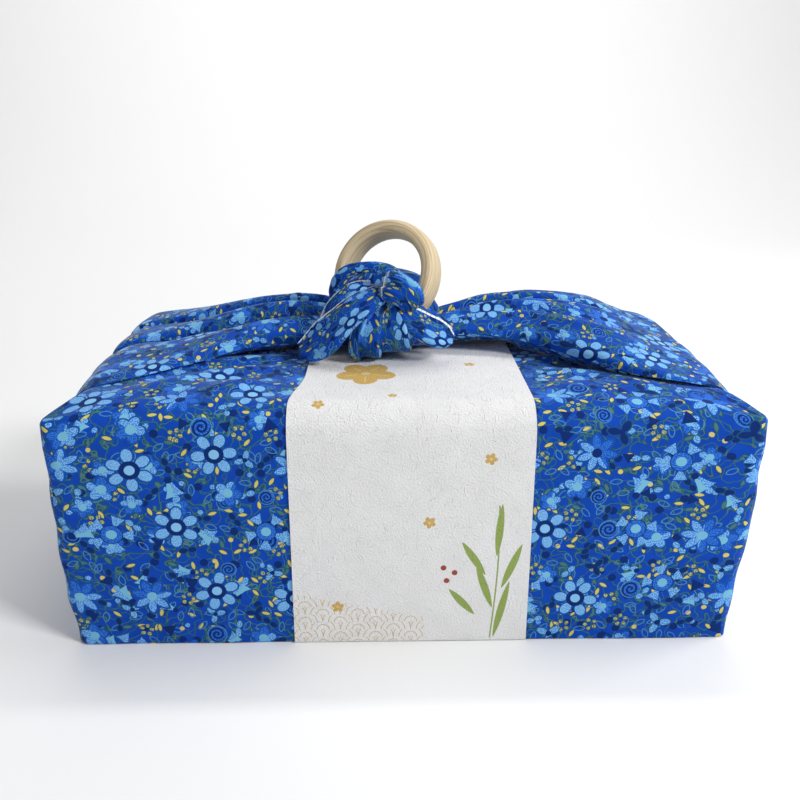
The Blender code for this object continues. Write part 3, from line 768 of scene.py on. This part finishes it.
def wing(name, table, rolls, side, seed):
    rows = smooth_rows(table, WING_STEPS)
    shares = smooth_rows(rolls, ROLL_STEPS)[:-1]
    roll_of = np.clip(np.round(shares[:, 2]), 0, rolls[-1][2])
    sections = []
    reach = np.cumsum(np.r_[0.0, np.hypot(*np.diff(rows[:, :2], axis=0).T)])
    for row, path in zip(rows, reach):
        out, up, lean, front, back, lip, rise, skew, under = row
        angle = math.radians(lean)
        depth = back - front
        gather = ramp(path, 60.0, 230.0)
        share = np.maximum(shares[:, 0], 0.0) ** skew
        middle = np.sin(math.pi * np.clip(share, 0.0, 1.0))
        share = share + 0.012 * middle * ripple(path, 0.0 * share + seed, 70.0, seed)
        level = shares[:, 1]
        fine = ripple(share * 150.0, path * 0.22, 22.0, seed + 3) * middle
        sharp = 1.0 - np.abs(ripple(share * 170.0, path * 0.12, 34.0, seed + 5)) * 2.2
        height = rise * level + lip * (1 - level) * (1 - share) ** 2
        height = height + fine * (0.35 + 1.3 * gather) + sharp * middle * (0.2 + 1.5 * gather)
        y = front + depth * share
        tuck = min(LIP_TUCK + LIP_TUCK_PER_LIFT * lip, 0.5 * depth)
        base = np.linspace(back - 1.0, front + tuck, 16)
        y = np.r_[y, base]
        height = np.r_[height, np.full(len(base), under)]
        sections.append(np.stack([side * (out + height * math.sin(angle)), y,
                                  up + height * math.cos(angle)], axis=1))
    loops = np.array(sections)
    count, around = loops.shape[:2]
    crest = len(roll_of)
    steps = np.linalg.norm(np.diff(loops, axis=1), axis=2)
    arc = np.concatenate([np.zeros((count, 1)), np.cumsum(steps, axis=1)], axis=1)
    closing = np.linalg.norm(loops[:, 0] - loops[:, -1], axis=1)
    roll_of = np.r_[roll_of, np.full(around - crest, 7)]
    middles = {r: int(np.mean(np.nonzero(roll_of == r)[0])) for r in np.unique(roll_of)}
    places = np.zeros((count - 1, around, 4, 2))
    for j in range(around):
        k = (j + 1) % around
        r = roll_of[j]
        shift = r * 83.0 + seed * 29.0
        for spot, (down, column) in enumerate(((0, j), (0, k), (1, k), (1, j))):
            rise_of = slice(down, count - 1 + down)
            far = arc[rise_of, column] - arc[rise_of, middles[r]]
            if k == 0 and column == 0:
                far = arc[rise_of, -1] - arc[rise_of, middles[r]] + closing[rise_of]
            places[:, j, spot, 0] = reach[rise_of] * 1.08 + seed * 113.0
            places[:, j, spot, 1] = far + shift
    return loft(name, loops, places.reshape(-1, 2)[:(count - 1) * around * 4])


for name, table, rolls, side, seed in (("cloth_left_wing", LEFT_WING, LEFT_ROLLS, -1, 1),
                                       ("cloth_right_wing", RIGHT_WING, RIGHT_ROLLS, 1, 2)):
    made = wing(name, table, rolls, side, seed)
    made.data.materials.append(COTTON)
    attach(made, "root")
    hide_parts("cloth")

# The knot: the ends of the two wings, tied in a square knot round the ring. The strips are
# pleated where they are drawn tight, their stitched hems show along the edges, and the two
# free ends come out at the front, one on each side.
KNOT_CENTRE = (-9.5, 6.0, 134.0)
KNOT_RADII = (28.0, 17.0, 22.0)
KNOT_REST = HEIGHT + 1.2
STRAND_STEPS = 14
STRAND_POINTS = 128
FOLD_FACE = 0.86
PRINT_GATHER = 1.7
DEEP_HEM = 3.4
TOP_ROLL = (
    # x, y, z, width, thickness
    (-22.0, 8.0, 130.0, 13.0, 9.0),
    (-29.5, -4.0, 139.5, 12.0, 8.5),
    (-30.8, -11.5, 150.0, 9.5, 7.0),
    (-26.0, -16.0, 157.3, 7.0, 5.2),
    (-17.5, -18.0, 160.0, 5.6, 4.6),
    (-9.5, -18.5, 159.6, 5.8, 4.8),
    (-4.0, -16.5, 156.0, 7.0, 5.8),
    (-1.5, -9.0, 148.0, 9.0, 6.5),
)
RIGHT_LUMP = (
    # x, y, z, width, thickness
    (-7.5, -21.0, 151.9, 13.0, 7.5),
    (-5.1, -23.6, 151.9, 15.5, 8.5),
    (-2.0, -25.0, 151.3, 15.5, 9.5),
    (1.3, -25.0, 149.3, 15.0, 10.0),
    (3.7, -24.0, 146.4, 14.0, 10.0),
    (4.4, -20.0, 142.1, 12.0, 9.0),
)
LEFT_END = (
    # x, y, z, width, thickness
    (-7.2, -16.5, 148.5, 7.0, 4.0),
    (-11.8, -20.5, 147.2, 12.0, 5.0),
    (-18.2, -24.5, 144.2, 15.5, 6.0),
    (-25.4, -26.0, 139.4, 16.5, 6.0),
    (-31.2, -26.5, 134.0, 18.5, 5.5),
    (-36.7, -26.0, 128.4, 20.5, 5.0),
    (-42.7, -24.5, 123.5, 18.0, 4.5),
    (-49.3, -22.0, 119.6, 10.0, 4.0),
)
LEFT_UNDER = (
    # x, y, z, width, thickness
    (-15.0, -9.0, 149.4, 5.5, 3.5),
    (-20.1, -13.0, 149.5, 7.5, 4.0),
    (-24.9, -16.0, 147.7, 9.0, 4.5),
    (-29.8, -17.0, 143.5, 10.0, 4.5),
    (-34.1, -15.5, 137.9, 10.0, 4.0),
    (-37.4, -12.0, 131.8, 8.5, 4.0),
)
FRONT_WRAP = (
    # x, y, z, width, thickness
    (-6.5, -17.0, 143.0, 9.0, 6.0),
    (-7.0, -24.0, 138.0, 20.0, 6.5),
    (-6.8, -27.0, 130.5, 37.0, 6.5),
    (-5.5, -23.5, 123.0, 41.0, 6.0),
    (-5.0, -14.0, 119.4, 34.0, 5.0),
    (-5.0, -5.0, 119.5, 22.0, 4.0),
)
RIGHT_END = (
    # x, y, z, width, thickness
    (-1.4, -20.0, 139.9, 11.0, 6.0),
    (2.8, -23.5, 138.2, 14.0, 7.0),
    (8.6, -24.5, 134.8, 16.0, 6.5),
    (14.5, -24.0, 131.4, 17.5, 6.5),
    (19.8, -21.0, 128.3, 15.5, 6.0),
    (24.1, -17.0, 126.0, 9.5, 4.5),
)
BACK_WRAP = (
    # x, y, z, width, thickness
    (-16.0, 2.0, 146.0, 12.0, 6.0),
    (-13.0, 13.0, 145.0, 18.0, 7.0),
    (-9.0, 22.0, 137.0, 24.0, 7.0),
    (-7.0, 23.0, 125.5, 26.0, 6.5),
    (-6.0, 14.0, 118.0, 22.0, 5.0),
)


def rounder(value, power):
    """A sine or cosine with its size raised to a power, which squares a round section."""
    return np.sign(value) * np.abs(value) ** power


def strand(name, table, facing, folds, depth, hem, seed):
    """A strip in folds, swept along its rows; facing is how its broad side looks at first."""
    rows = smooth_rows(table, STRAND_STEPS)
    centres = rows[:, :3]
    tangents = np.gradient(centres, axis=0)
    reach = np.cumsum(np.r_[0.0, np.linalg.norm(np.diff(centres, axis=0), axis=1)])
    angle = np.linspace(0.0, 2.0 * math.pi, STRAND_POINTS, endpoint=False)
    normal = np.array(facing, dtype=float)
    loops = []
    for row, tangent, path in zip(rows, tangents, reach):
        tangent = tangent / np.linalg.norm(tangent)
        normal = normal - tangent * normal.dot(tangent)
        normal = normal / np.linalg.norm(normal)
        across = np.cross(tangent, normal)
        turns = folds * angle / math.pi + 1.1 * ripple(path, 0.0, 34.0, seed)
        part = turns - np.floor(turns)
        fold = np.where(part < FOLD_FACE, part / FOLD_FACE, (1.0 - part) / (1.0 - FOLD_FACE))
        tight = 0.75 + 0.35 * ripple(path, angle * 2.0, 26.0, seed + 4)
        pleat = depth * (fold - 0.5) * tight * np.abs(np.sin(angle)) ** 0.6
        pleat = pleat + 0.3 * ripple(angle * 9.0, path + 0.0 * angle, 9.0, seed + 2)
        wide = 0.5 * row[3] * rounder(np.cos(angle), 0.8)
        deep = 0.5 * row[4] * rounder(np.sin(angle), 0.8) + pleat * np.sign(np.sin(angle))
        loops.append(row[:3] + across * wide[:, None] + normal * deep[:, None])
    loops = np.array(loops)
    loops[:, :, 2] = np.maximum(loops[:, :, 2], KNOT_REST - 0.2)
    closed = np.concatenate([loops, loops[:, :1]], axis=1)
    steps = np.linalg.norm(np.diff(closed, axis=1), axis=2)
    arc = np.concatenate([np.zeros((len(loops), 1)), np.cumsum(steps, axis=1)], axis=1)
    whole = arc[:, -1:]
    to_edge = {"first edge": np.minimum(arc, whole - arc),
               "second edge": np.maximum(np.abs(arc - 0.5 * whole) - DEEP_HEM, 0.6),
               "start": reach[:, None] + 0.0 * arc,
               "hidden": np.full(arc.shape, 50.0)}[hem]
    middle = arc - 0.25 * whole
    count = STRAND_POINTS
    places = np.zeros((len(loops) - 1, count, 4, 2))
    hems = np.zeros(places.shape)
    for spot, (down, right) in enumerate(((0, 0), (0, 1), (1, 1), (1, 0))):
        lines = slice(down, len(loops) - 1 + down)
        columns = slice(right, count + right)
        places[:, :, spot, 0] = reach[lines, None] + seed * 57.0
        places[:, :, spot, 1] = middle[lines, columns] * PRINT_GATHER + seed * 91.0
        hems[:, :, spot, 0] = to_edge[lines, columns]
        hems[:, :, spot, 1] = reach[lines, None]
    return loft(name, loops, places.reshape(-1, 2), hems.reshape(-1, 2))


def knot_heart(name):
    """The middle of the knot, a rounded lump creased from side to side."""
    turns = np.linspace(0.0, 2.0 * math.pi, 96, endpoint=False)
    rises = np.radians(np.linspace(-86.0, 86.0, 60))
    grid = np.zeros((len(rises), len(turns), 3))
    for i, rise in enumerate(rises):
        bulge = 1.0 + 0.05 * np.sin(7.0 * rise + 2.0 * np.cos(turns))
        grid[i, :, 0] = KNOT_RADII[0] * bulge * math.cos(rise) * np.cos(turns)
        grid[i, :, 1] = KNOT_RADII[1] * bulge * math.cos(rise) * np.sin(turns)
        grid[i, :, 2] = KNOT_RADII[2] * bulge * math.sin(rise)
    grid += np.array(KNOT_CENTRE)
    grid[:, :, 2] = np.maximum(grid[:, :, 2], KNOT_REST)
    places = np.zeros((len(rises) - 1, len(turns), 4, 2))
    for spot, (down, right) in enumerate(((0, 0), (0, 1), (1, 1), (1, 0))):
        lines = slice(down, len(rises) - 1 + down)
        places[:, :, spot, 0] = (np.r_[turns, 2.0 * math.pi][right:len(turns) + right]
                                 * KNOT_RADII[0])[None, :]
        places[:, :, spot, 1] = rises[lines, None] * KNOT_RADII[2] + 300.0
    return loft(name, grid, places.reshape(-1, 2))


knot_parts = [knot_heart("heart")]
for strand_row in (
    # name, rows, facing, folds, fold depth, hem, seed
    ("top roll", TOP_ROLL, (-0.8, -0.5, 0.0), 3, 1.6, "hidden", 3),
    ("right lump", RIGHT_LUMP, (0.0, -1.0, 0.3), 5, 1.8, "start", 9),
    ("left end", LEFT_END, (-0.3, -0.7, 0.6), 2, 1.6, "first edge", 4),
    ("left under", LEFT_UNDER, (-0.3, -0.7, 0.6), 2, 0.9, "first edge", 8),
    ("front wrap", FRONT_WRAP, (0.0, -1.0, 0.2), 5, 4.2, "hidden", 5),
    ("right end", RIGHT_END, (0.3, -0.9, 0.4), 2, 1.0, "second edge", 6),
    ("back wrap", BACK_WRAP, (0.0, 0.3, 1.0), 5, 1.8, "hidden", 7),
):
    knot_parts.append(strand(*strand_row))
with bpy.context.temp_override(active_object=knot_parts[0], selected_objects=knot_parts,
                               selected_editable_objects=knot_parts):
    bpy.ops.object.join()
knot = knot_parts[0]
knot.name = "cloth_knot"
knot.data.materials.append(COTTON)
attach(knot, "root")
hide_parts("cloth")

# The ring: one piece of pale wood, turned with well rounded edges, sanded and left bare. The
# growth lines of the plank run round it.
RING_OUTER_RADIUS = 27.5
RING_WALL = 8.0
RING_BREADTH = 14.5
RING_CENTRE = (-7.0, -3.0, 153.4)
RING_TURN = math.radians(-27.0)
RING_LEAN = math.radians(26.0)
WOOD_PALE = colour(216, 199, 165)
WOOD_MID = colour(193, 173, 138)
WOOD_LINE = colour(142, 119, 86)


def wooden_ring(name):
    matrix = (Matrix.Translation(Vector(RING_CENTRE)) @ Matrix.Rotation(RING_TURN, 4, "Z")
              @ Matrix.Rotation(-RING_LEAN, 4, "X"))
    turns = np.linspace(0.0, 2.0 * math.pi, 192, endpoint=False)
    angle = np.linspace(0.0, 2.0 * math.pi, 56, endpoint=False)
    wall = 0.5 * RING_WALL * rounder(np.cos(angle), 0.75)
    breadth = 0.5 * RING_BREADTH * rounder(np.sin(angle), 0.75)
    radius = RING_OUTER_RADIUS - 0.5 * RING_WALL + wall
    x = radius[None, :] * np.cos(turns)[:, None]
    z = radius[None, :] * np.sin(turns)[:, None]
    y = np.broadcast_to(breadth, x.shape)
    local = np.stack([x, y, z], axis=2)
    turned = np.array(matrix.to_3x3())
    points = local @ turned.T + np.array(RING_CENTRE)
    rows, count = x.shape
    quads = []
    places = np.zeros((rows, count, 4, 2))
    across = breadth + 0.45 * wall
    for spot, (down, right) in enumerate(((0, 0), (0, 1), (1, 1), (1, 0))):
        places[:, :, spot, 0] = ((np.arange(rows) + down) * 2.0 * math.pi / rows
                                 * RING_OUTER_RADIUS)[:, None]
        places[:, :, spot, 1] = np.roll(across, -right)[None, :]
    for i in range(rows):
        for j in range(count):
            quads.append((i * count + j, i * count + (j + 1) % count,
                          (i + 1) % rows * count + (j + 1) % count, (i + 1) % rows * count + j))
    made = make_piece(name, points.reshape(-1, 3), quads, places.reshape(-1, 2))
    work = bmesh.new()
    work.from_mesh(made.data)
    bmesh.ops.recalc_face_normals(work, faces=work.faces)
    work.to_mesh(made.data)
    work.free()
    made.data.shade_smooth()
    return made


def wood_material():
    material = bpy.data.materials.new("pale wood")
    material.use_nodes = True
    sums = Sums(material.node_tree)
    shader = material.node_tree.nodes["Principled BSDF"]
    along, across, _ = sums.parts(sums.node("ShaderNodeUVMap", uv_map="cloth").outputs[0])
    stretched = sums.join(sums.times(along, 0.035), across)
    drift = sums.times(sums.noise(stretched, 0.35, 2.0), 5.0)
    layers = sums.maths("SINE", sums.times(sums.add(across, drift), 4.6))
    lines = sums.maths("POWER", sums.times(sums.add(layers, 1.0), 0.5), 3.0)
    fibre = sums.noise(sums.join(sums.times(along, 0.12), sums.times(across, 3.2)), 1.4, 3.0)
    pores = sums.less(0.66, sums.noise(sums.join(sums.times(along, 0.3),
                                                 sums.times(across, 6.0)), 1.1, 2.0))
    tone = sums.mix(fibre, WOOD_PALE, WOOD_MID)
    tone = sums.mix(sums.times(lines, 0.55), tone, WOOD_LINE)
    tone = sums.mix(sums.times(pores, 0.22), tone, WOOD_LINE)
    sums.feed(shader.inputs["Base Color"], tone)
    rough = sums.add(0.52, sums.times(fibre, 0.16))
    sums.feed(shader.inputs["Roughness"], rough)
    bump = sums.node("ShaderNodeBump")
    bump.inputs["Strength"].default_value = 0.35
    bump.inputs["Distance"].default_value = 0.00015
    sums.feed(bump.inputs["Height"], sums.take(fibre, sums.times(lines, 0.6)))
    sums.feed(shader.inputs["Normal"], bump.outputs[0])
    return material


ring = wooden_ring("wooden_ring")
ring.data.materials.append(wood_material())
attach(ring, "root")
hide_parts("ring")

# The band: one strip of white washi with long raised fibres, folded round the parcel over the
# cloth and glued at its underside. It carries a plain printed decoration of ordinary leaves,
# blossoms and waves.
GAP = 0.3
BAND_PAPER = 0.5
BAND_RECESS = 0.8
BAND_FOLD_RADIUS = 1.0
PAPER_WHITE = colour(231, 231, 232)
PAPER_SHADE = colour(215, 215, 215)
BAND_TURN_IN = 5.0
GOLD = colour(198, 164, 92)
GOLD_PALE = colour(214, 190, 136)
LEAF_GREEN = colour(140, 160, 84)
BERRY = colour(150, 70, 56)


def band_path(offset):
    """The band's path round the parcel, seen from the side, at an offset from the cloth."""
    wide = HALF_DEPTH + offset
    top = HEIGHT + offset
    bottom = BAND_RECESS - offset
    top_radius = TOP_RADIUS + offset
    fold = BAND_FOLD_RADIUS + offset - GAP
    path = []
    for angle in np.radians(np.linspace(0.0, 90.0, 8)):
        path.append((-wide + fold - fold * math.sin(angle), bottom + fold - fold * math.cos(angle)))
    for height in np.linspace(bottom + fold, top - top_radius, 26)[1:-1]:
        path.append((-wide, height))
    for angle in np.radians(np.linspace(0.0, 90.0, 18)):
        path.append((-wide + top_radius - top_radius * math.cos(angle),
                     top - top_radius + top_radius * math.sin(angle)))
    for y in np.linspace(-wide + top_radius, 0.0, 20)[1:]:
        path.append((y, top))
    return np.array(path + [(-y, z) for y, z in path[-2::-1]])


def paper_band(name):
    outer = band_path(GAP + BAND_PAPER)
    inner = band_path(GAP + 0.08)
    reach = np.cumsum(np.r_[0.0, np.linalg.norm(np.diff(outer, axis=0), axis=1)])
    columns = np.linspace(-BAND_HALF_WIDTH, BAND_HALF_WIDTH, 49)
    across = np.r_[columns, columns[::-1]]
    outside = np.r_[np.ones(len(columns)), np.zeros(len(columns))]
    loops = []
    for (yo, zo), (yi, zi) in zip(outer, inner):
        y = np.where(outside > 0, yo, yi)
        z = np.where(outside > 0, zo, zi)
        turned = (BAND_TURN_IN * ramp(-np.abs(y), -84.0, -42.0)
                  * ramp(z, HEIGHT - 9.0, HEIGHT) * ramp(-across, 0.0, BAND_HALF_WIDTH))
        loops.append(np.stack([BAND_CENTRE + across + turned, y, z], axis=1))
    loops = np.array(loops)
    rows, count = loops.shape[:2]
    quads = []
    places = np.zeros((rows, count, 4, 2))
    length = reach[-1] + np.linalg.norm(outer[-1] - outer[0])
    reach = np.r_[reach, length]
    for i in range(rows):
        for j in range(count):
            k = (j + 1) % count
            m = (i + 1) % rows
            quads.append((i * count + j, m * count + j, m * count + k, i * count + k))
    for spot, (down, right) in enumerate(((0, 0), (1, 0), (1, 1), (0, 1))):
        places[:, :, spot, 0] = np.roll(across, -right)[None, :]
        places[:, :, spot, 1] = reach[down:rows + down, None]
    made = make_piece(name, loops.reshape(-1, 3), quads, places.reshape(-1, 2))
    work = bmesh.new()
    work.from_mesh(made.data)
    bmesh.ops.recalc_face_normals(work, faces=work.faces)
    work.to_mesh(made.data)
    work.free()
    made.data.shade_smooth()
    made.data.set_sharp_from_angle(angle=math.radians(40.0))
    return made


def washi_material():
    material = bpy.data.materials.new("washi paper")
    material.use_nodes = True
    sums = Sums(material.node_tree)
    shader = material.node_tree.nodes["Principled BSDF"]
    place = sums.node("ShaderNodeUVMap", uv_map="cloth").outputs[0]
    x, y, _ = sums.parts(place)
    pulp = sums.noise(place, 1.1, 3.0, 0.6)
    cloud = sums.noise(place, 0.07, 3.0)
    fibres = 0.0
    for seed, cell, half in ((11.0, 5.6, 1.9), (12.0, 8.4, 2.8)):
        local = sums.group(SCATTER, place=place, cell=cell, nudge=0.7, seed=seed)["Local"]
        along, across, _ = sums.parts(local)
        bow = sums.add(across, sums.times(sums.times(along, along), 0.12))
        near = sums.take(1.0, sums.maths("DIVIDE", sums.maths("ABSOLUTE", bow), 0.3))
        strip = sums.times(sums.most(near, 0.0), sums.less(sums.maths("ABSOLUTE", along), half))
        fibres = sums.most(fibres, strip)
    tone = sums.mix(cloud, PAPER_WHITE, PAPER_SHADE)

    def motif(left, up, turn=0.0):
        """Coordinates about one printed motif, turned."""
        made = sums.node("ShaderNodeVectorRotate", rotation_type="Z_AXIS")
        sums.feed(made.inputs["Vector"], sums.vector("SUBTRACT", place, (left, up, 0.0)))
        made.inputs["Angle"].default_value = turn
        return made.outputs[0]

    # A gold blossom on the top, with lighter lines along its petals.
    bloom = sums.group(PETALS, local=motif(-22.0, 158.0, 0.3), count=5.0, middle=9.0, long=7.2,
                       wide=6.4, round=2.0)
    tone = sums.mix(sums.less(bloom["Outside"], 0.0), tone, GOLD)
    vein = sums.times(sums.less(bloom["Side"], 0.35), sums.between(bloom["Along"], 4.5, 13.0))
    tone = sums.mix(vein, tone, GOLD_PALE)
    tone = sums.mix(sums.less(bloom["Radius"], 2.6), tone, GOLD_PALE)
    # Small gold blossoms, scattered.
    for left, up, size in ((30.0, 172.0, 1.0), (34.0, 92.0, 1.0), (8.0, 62.0, 1.0),
                           (-40.0, 118.0, 1.0), (-8.0, 126.0, 0.8), (-33.0, 20.0, 1.0)):
        small = sums.group(PETALS, local=motif(left, up, left), count=5.0, middle=1.7 * size,
                           long=1.15 * size, wide=1.0 * size, round=2.0)
        tone = sums.mix(sums.less(small["Outside"], 0.0), tone, GOLD)
        tone = sums.mix(sums.less(small["Radius"], 0.7 * size), tone, GOLD_PALE)
    # Bamboo leaves on thin stalks at the right.
    for left, up, turn, length in ((41.0, 18.0, -1.35, 15.0), (33.0, 30.0, -1.9, 12.0),
                                   (45.0, 40.0, -1.2, 12.0), (28.0, 44.0, -2.15, 10.0),
                                   (39.0, 58.0, -1.5, 13.0), (23.0, 22.0, -2.3, 9.0)):
        leaf = sums.group(PETALS, local=motif(left, up, turn), count=1.0, middle=0.0,
                          long=length, wide=1.7, round=1.15)
        local_x = sums.parts(motif(left, up, turn))[0]
        blade = sums.times(sums.less(leaf["Outside"], 0.0),
                           sums.less(sums.maths("ABSOLUTE", local_x), length))
        tone = sums.mix(blade, tone, LEAF_GREEN)
    bend = sums.add(36.0, sums.times(sums.maths("SINE", sums.times(y, 0.03)), 3.0))
    stalk = sums.times(sums.less(sums.maths("ABSOLUTE", sums.take(x, bend)), 0.35),
                       sums.between(y, 3.0, 70.0))
    tone = sums.mix(stalk, tone, LEAF_GREEN)
    # Waves in gold line along the lower left.
    rows = sums.maths("FLOOR", sums.maths("DIVIDE", y, 4.0))
    scale_x = sums.take(sums.maths("FRACT", sums.add(sums.maths("DIVIDE", x, 16.0),
                                                     sums.times(rows, 0.5))), 0.5)
    scale_y = sums.take(y, sums.times(rows, 4.0))
    from_middle = sums.vector("LENGTH", sums.join(sums.times(scale_x, 16.0), scale_y))
    arcs = sums.less(sums.maths("FRACT", sums.maths("DIVIDE", from_middle, 2.6)), 0.16)
    shore = sums.add(26.0, sums.times(x, -0.35))
    in_waves = sums.times(sums.less(y, sums.times(shore, 0.6)), sums.less(x, 6.0))
    in_waves = sums.times(in_waves, sums.between(y, 2.0, 60.0))
    tone = sums.mix(sums.times(sums.times(arcs, in_waves), 0.8), tone, GOLD)
    # Red-brown berries beside the leaves.
    for left, up in ((16.0, 33.0), (19.5, 37.0), (14.5, 39.5)):
        dot = sums.less(sums.vector("LENGTH", motif(left, up)), 1.3)
        tone = sums.mix(dot, tone, BERRY)
    sums.feed(shader.inputs["Base Color"], tone)
    shader.inputs["Roughness"].default_value = 0.78
    shader.inputs["Specular IOR Level"].default_value = 0.35
    bump = sums.node("ShaderNodeBump")
    bump.inputs["Strength"].default_value = 1.0
    bump.inputs["Distance"].default_value = 0.0009
    sums.feed(bump.inputs["Height"], sums.add(sums.times(pulp, 0.75), sums.times(fibres, 0.2)))
    sums.feed(shader.inputs["Normal"], bump.outputs[0])
    return material


band = paper_band("paper_band")
band.data.materials.append(washi_material())
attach(band, "root")
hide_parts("band")

# The gift box: a closed carton of grey board, hidden in the cloth.
BOARD = colour(168, 158, 140)
BOARD_DARK = colour(140, 130, 112)


def board_material():
    material = bpy.data.materials.new("grey board")
    material.use_nodes = True
    sums = Sums(material.node_tree)
    shader = material.node_tree.nodes["Principled BSDF"]
    place = sums.node("ShaderNodeTexCoord").outputs["Object"]
    pulp = sums.noise(place, 900.0, 3.0)
    sums.feed(shader.inputs["Base Color"], sums.mix(pulp, BOARD, BOARD_DARK))
    shader.inputs["Roughness"].default_value = 0.9
    bump = sums.node("ShaderNodeBump")
    bump.inputs["Strength"].default_value = 0.3
    bump.inputs["Distance"].default_value = 0.0002
    sums.feed(bump.inputs["Height"], pulp)
    sums.feed(shader.inputs["Normal"], bump.outputs[0])
    return material


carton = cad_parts["box"]
carton.data.materials.clear()
carton.data.materials.append(board_material())

# The studio: a pale floor that curves up behind, large soft lights, and the camera where the
# photograph was taken.
FLOOR_HALF = 2.6
WALL_AT = 1.9
WALL_BEND = 0.9
WALL_TOP = 2.4


def studio_floor():
    mesh = bpy.data.meshes.new("studio_floor")
    work = bmesh.new()
    profile = [(-FLOOR_HALF, 0.0), (0.0, 0.0), (WALL_AT - WALL_BEND, 0.0)]
    for angle in np.radians(np.linspace(0.0, 90.0, 20))[1:]:
        profile.append((WALL_AT - WALL_BEND + WALL_BEND * math.sin(angle),
                        WALL_BEND - WALL_BEND * math.cos(angle)))
    profile.append((WALL_AT, WALL_TOP))
    rows = [[work.verts.new((x, y, z)) for x in (-FLOOR_HALF, FLOOR_HALF)] for y, z in profile]
    for near, far in zip(rows, rows[1:]):
        work.faces.new((near[0], near[1], far[1], far[0]))
    work.to_mesh(mesh)
    work.free()
    mesh.shade_smooth()
    made = bpy.data.objects.new("studio_floor", mesh)
    bpy.context.scene.collection.objects.link(made)
    material = bpy.data.materials.new("studio paper")
    material.use_nodes = True
    shader = material.node_tree.nodes["Principled BSDF"]
    shader.inputs["Base Color"].default_value = (0.86, 0.86, 0.86, 1.0)
    shader.inputs["Roughness"].default_value = 0.9
    mesh.materials.append(material)
    return made


def soft_light(name, place, target, size, power):
    data = bpy.data.lights.new(name, "AREA")
    data.shape = "RECTANGLE"
    data.size, data.size_y = size
    data.energy = power
    made = bpy.data.objects.new(name, data)
    made.location = place
    aim = Vector(target) - Vector(place)
    made.rotation_euler = aim.to_track_quat("-Z", "Y").to_euler()
    bpy.context.scene.collection.objects.link(made)


studio_floor()
MIDDLE = (0.0, 0.0, 0.07)
soft_light("soft key", (0.82, -0.68, 0.88), MIDDLE, (0.35, 0.3), 12.6)
soft_light("soft fill", (-0.7, -1.1, 0.5), MIDDLE, (0.8, 0.8), 2.3)
soft_light("top light", (0.9, 0.1, 0.95), MIDDLE, (0.4, 0.35), 5.0)
soft_light("background light", (0.0, 0.7, 1.9), (0.0, 1.9, 0.7), (1.6, 0.5), 26.0)
world = bpy.data.worlds.new("studio air")
bpy.context.scene.world = world
world.use_nodes = True
world.node_tree.nodes["Background"].inputs["Color"].default_value = (1.0, 1.0, 1.0, 1.0)
world.node_tree.nodes["Background"].inputs["Strength"].default_value = 0.24
bpy.context.scene.view_settings.view_transform = "Standard"

IMAGE_SIDE = 800.0
FOCAL_PIXELS = 880.46
PITCH = math.radians(19.2)
ROLL = math.radians(0.105)
YAW = math.radians(1.293)
CAMERA_PLACE = (-0.01028, -0.43691, 0.23871)
forward = Vector((math.sin(YAW) * math.cos(PITCH), math.cos(YAW) * math.cos(PITCH),
                  -math.sin(PITCH)))
right = Vector((math.cos(YAW), -math.sin(YAW), 0.0))
up = right.cross(forward)
tilted_right = right * math.cos(ROLL) + up * math.sin(ROLL)
tilted_up = -right * math.sin(ROLL) + up * math.cos(ROLL)
lens = bpy.data.cameras.new("photo camera")
lens.sensor_width = 36.0
lens.lens = 36.0 * FOCAL_PIXELS / IMAGE_SIDE
lens.clip_start = 0.01
camera = bpy.data.objects.new("photo camera", lens)
pose = Matrix((tilted_right, tilted_up, -forward)).transposed().to_4x4()
pose.translation = CAMERA_PLACE
camera.matrix_world = pose
bpy.context.scene.collection.objects.link(camera)
bpy.context.scene.camera = camera
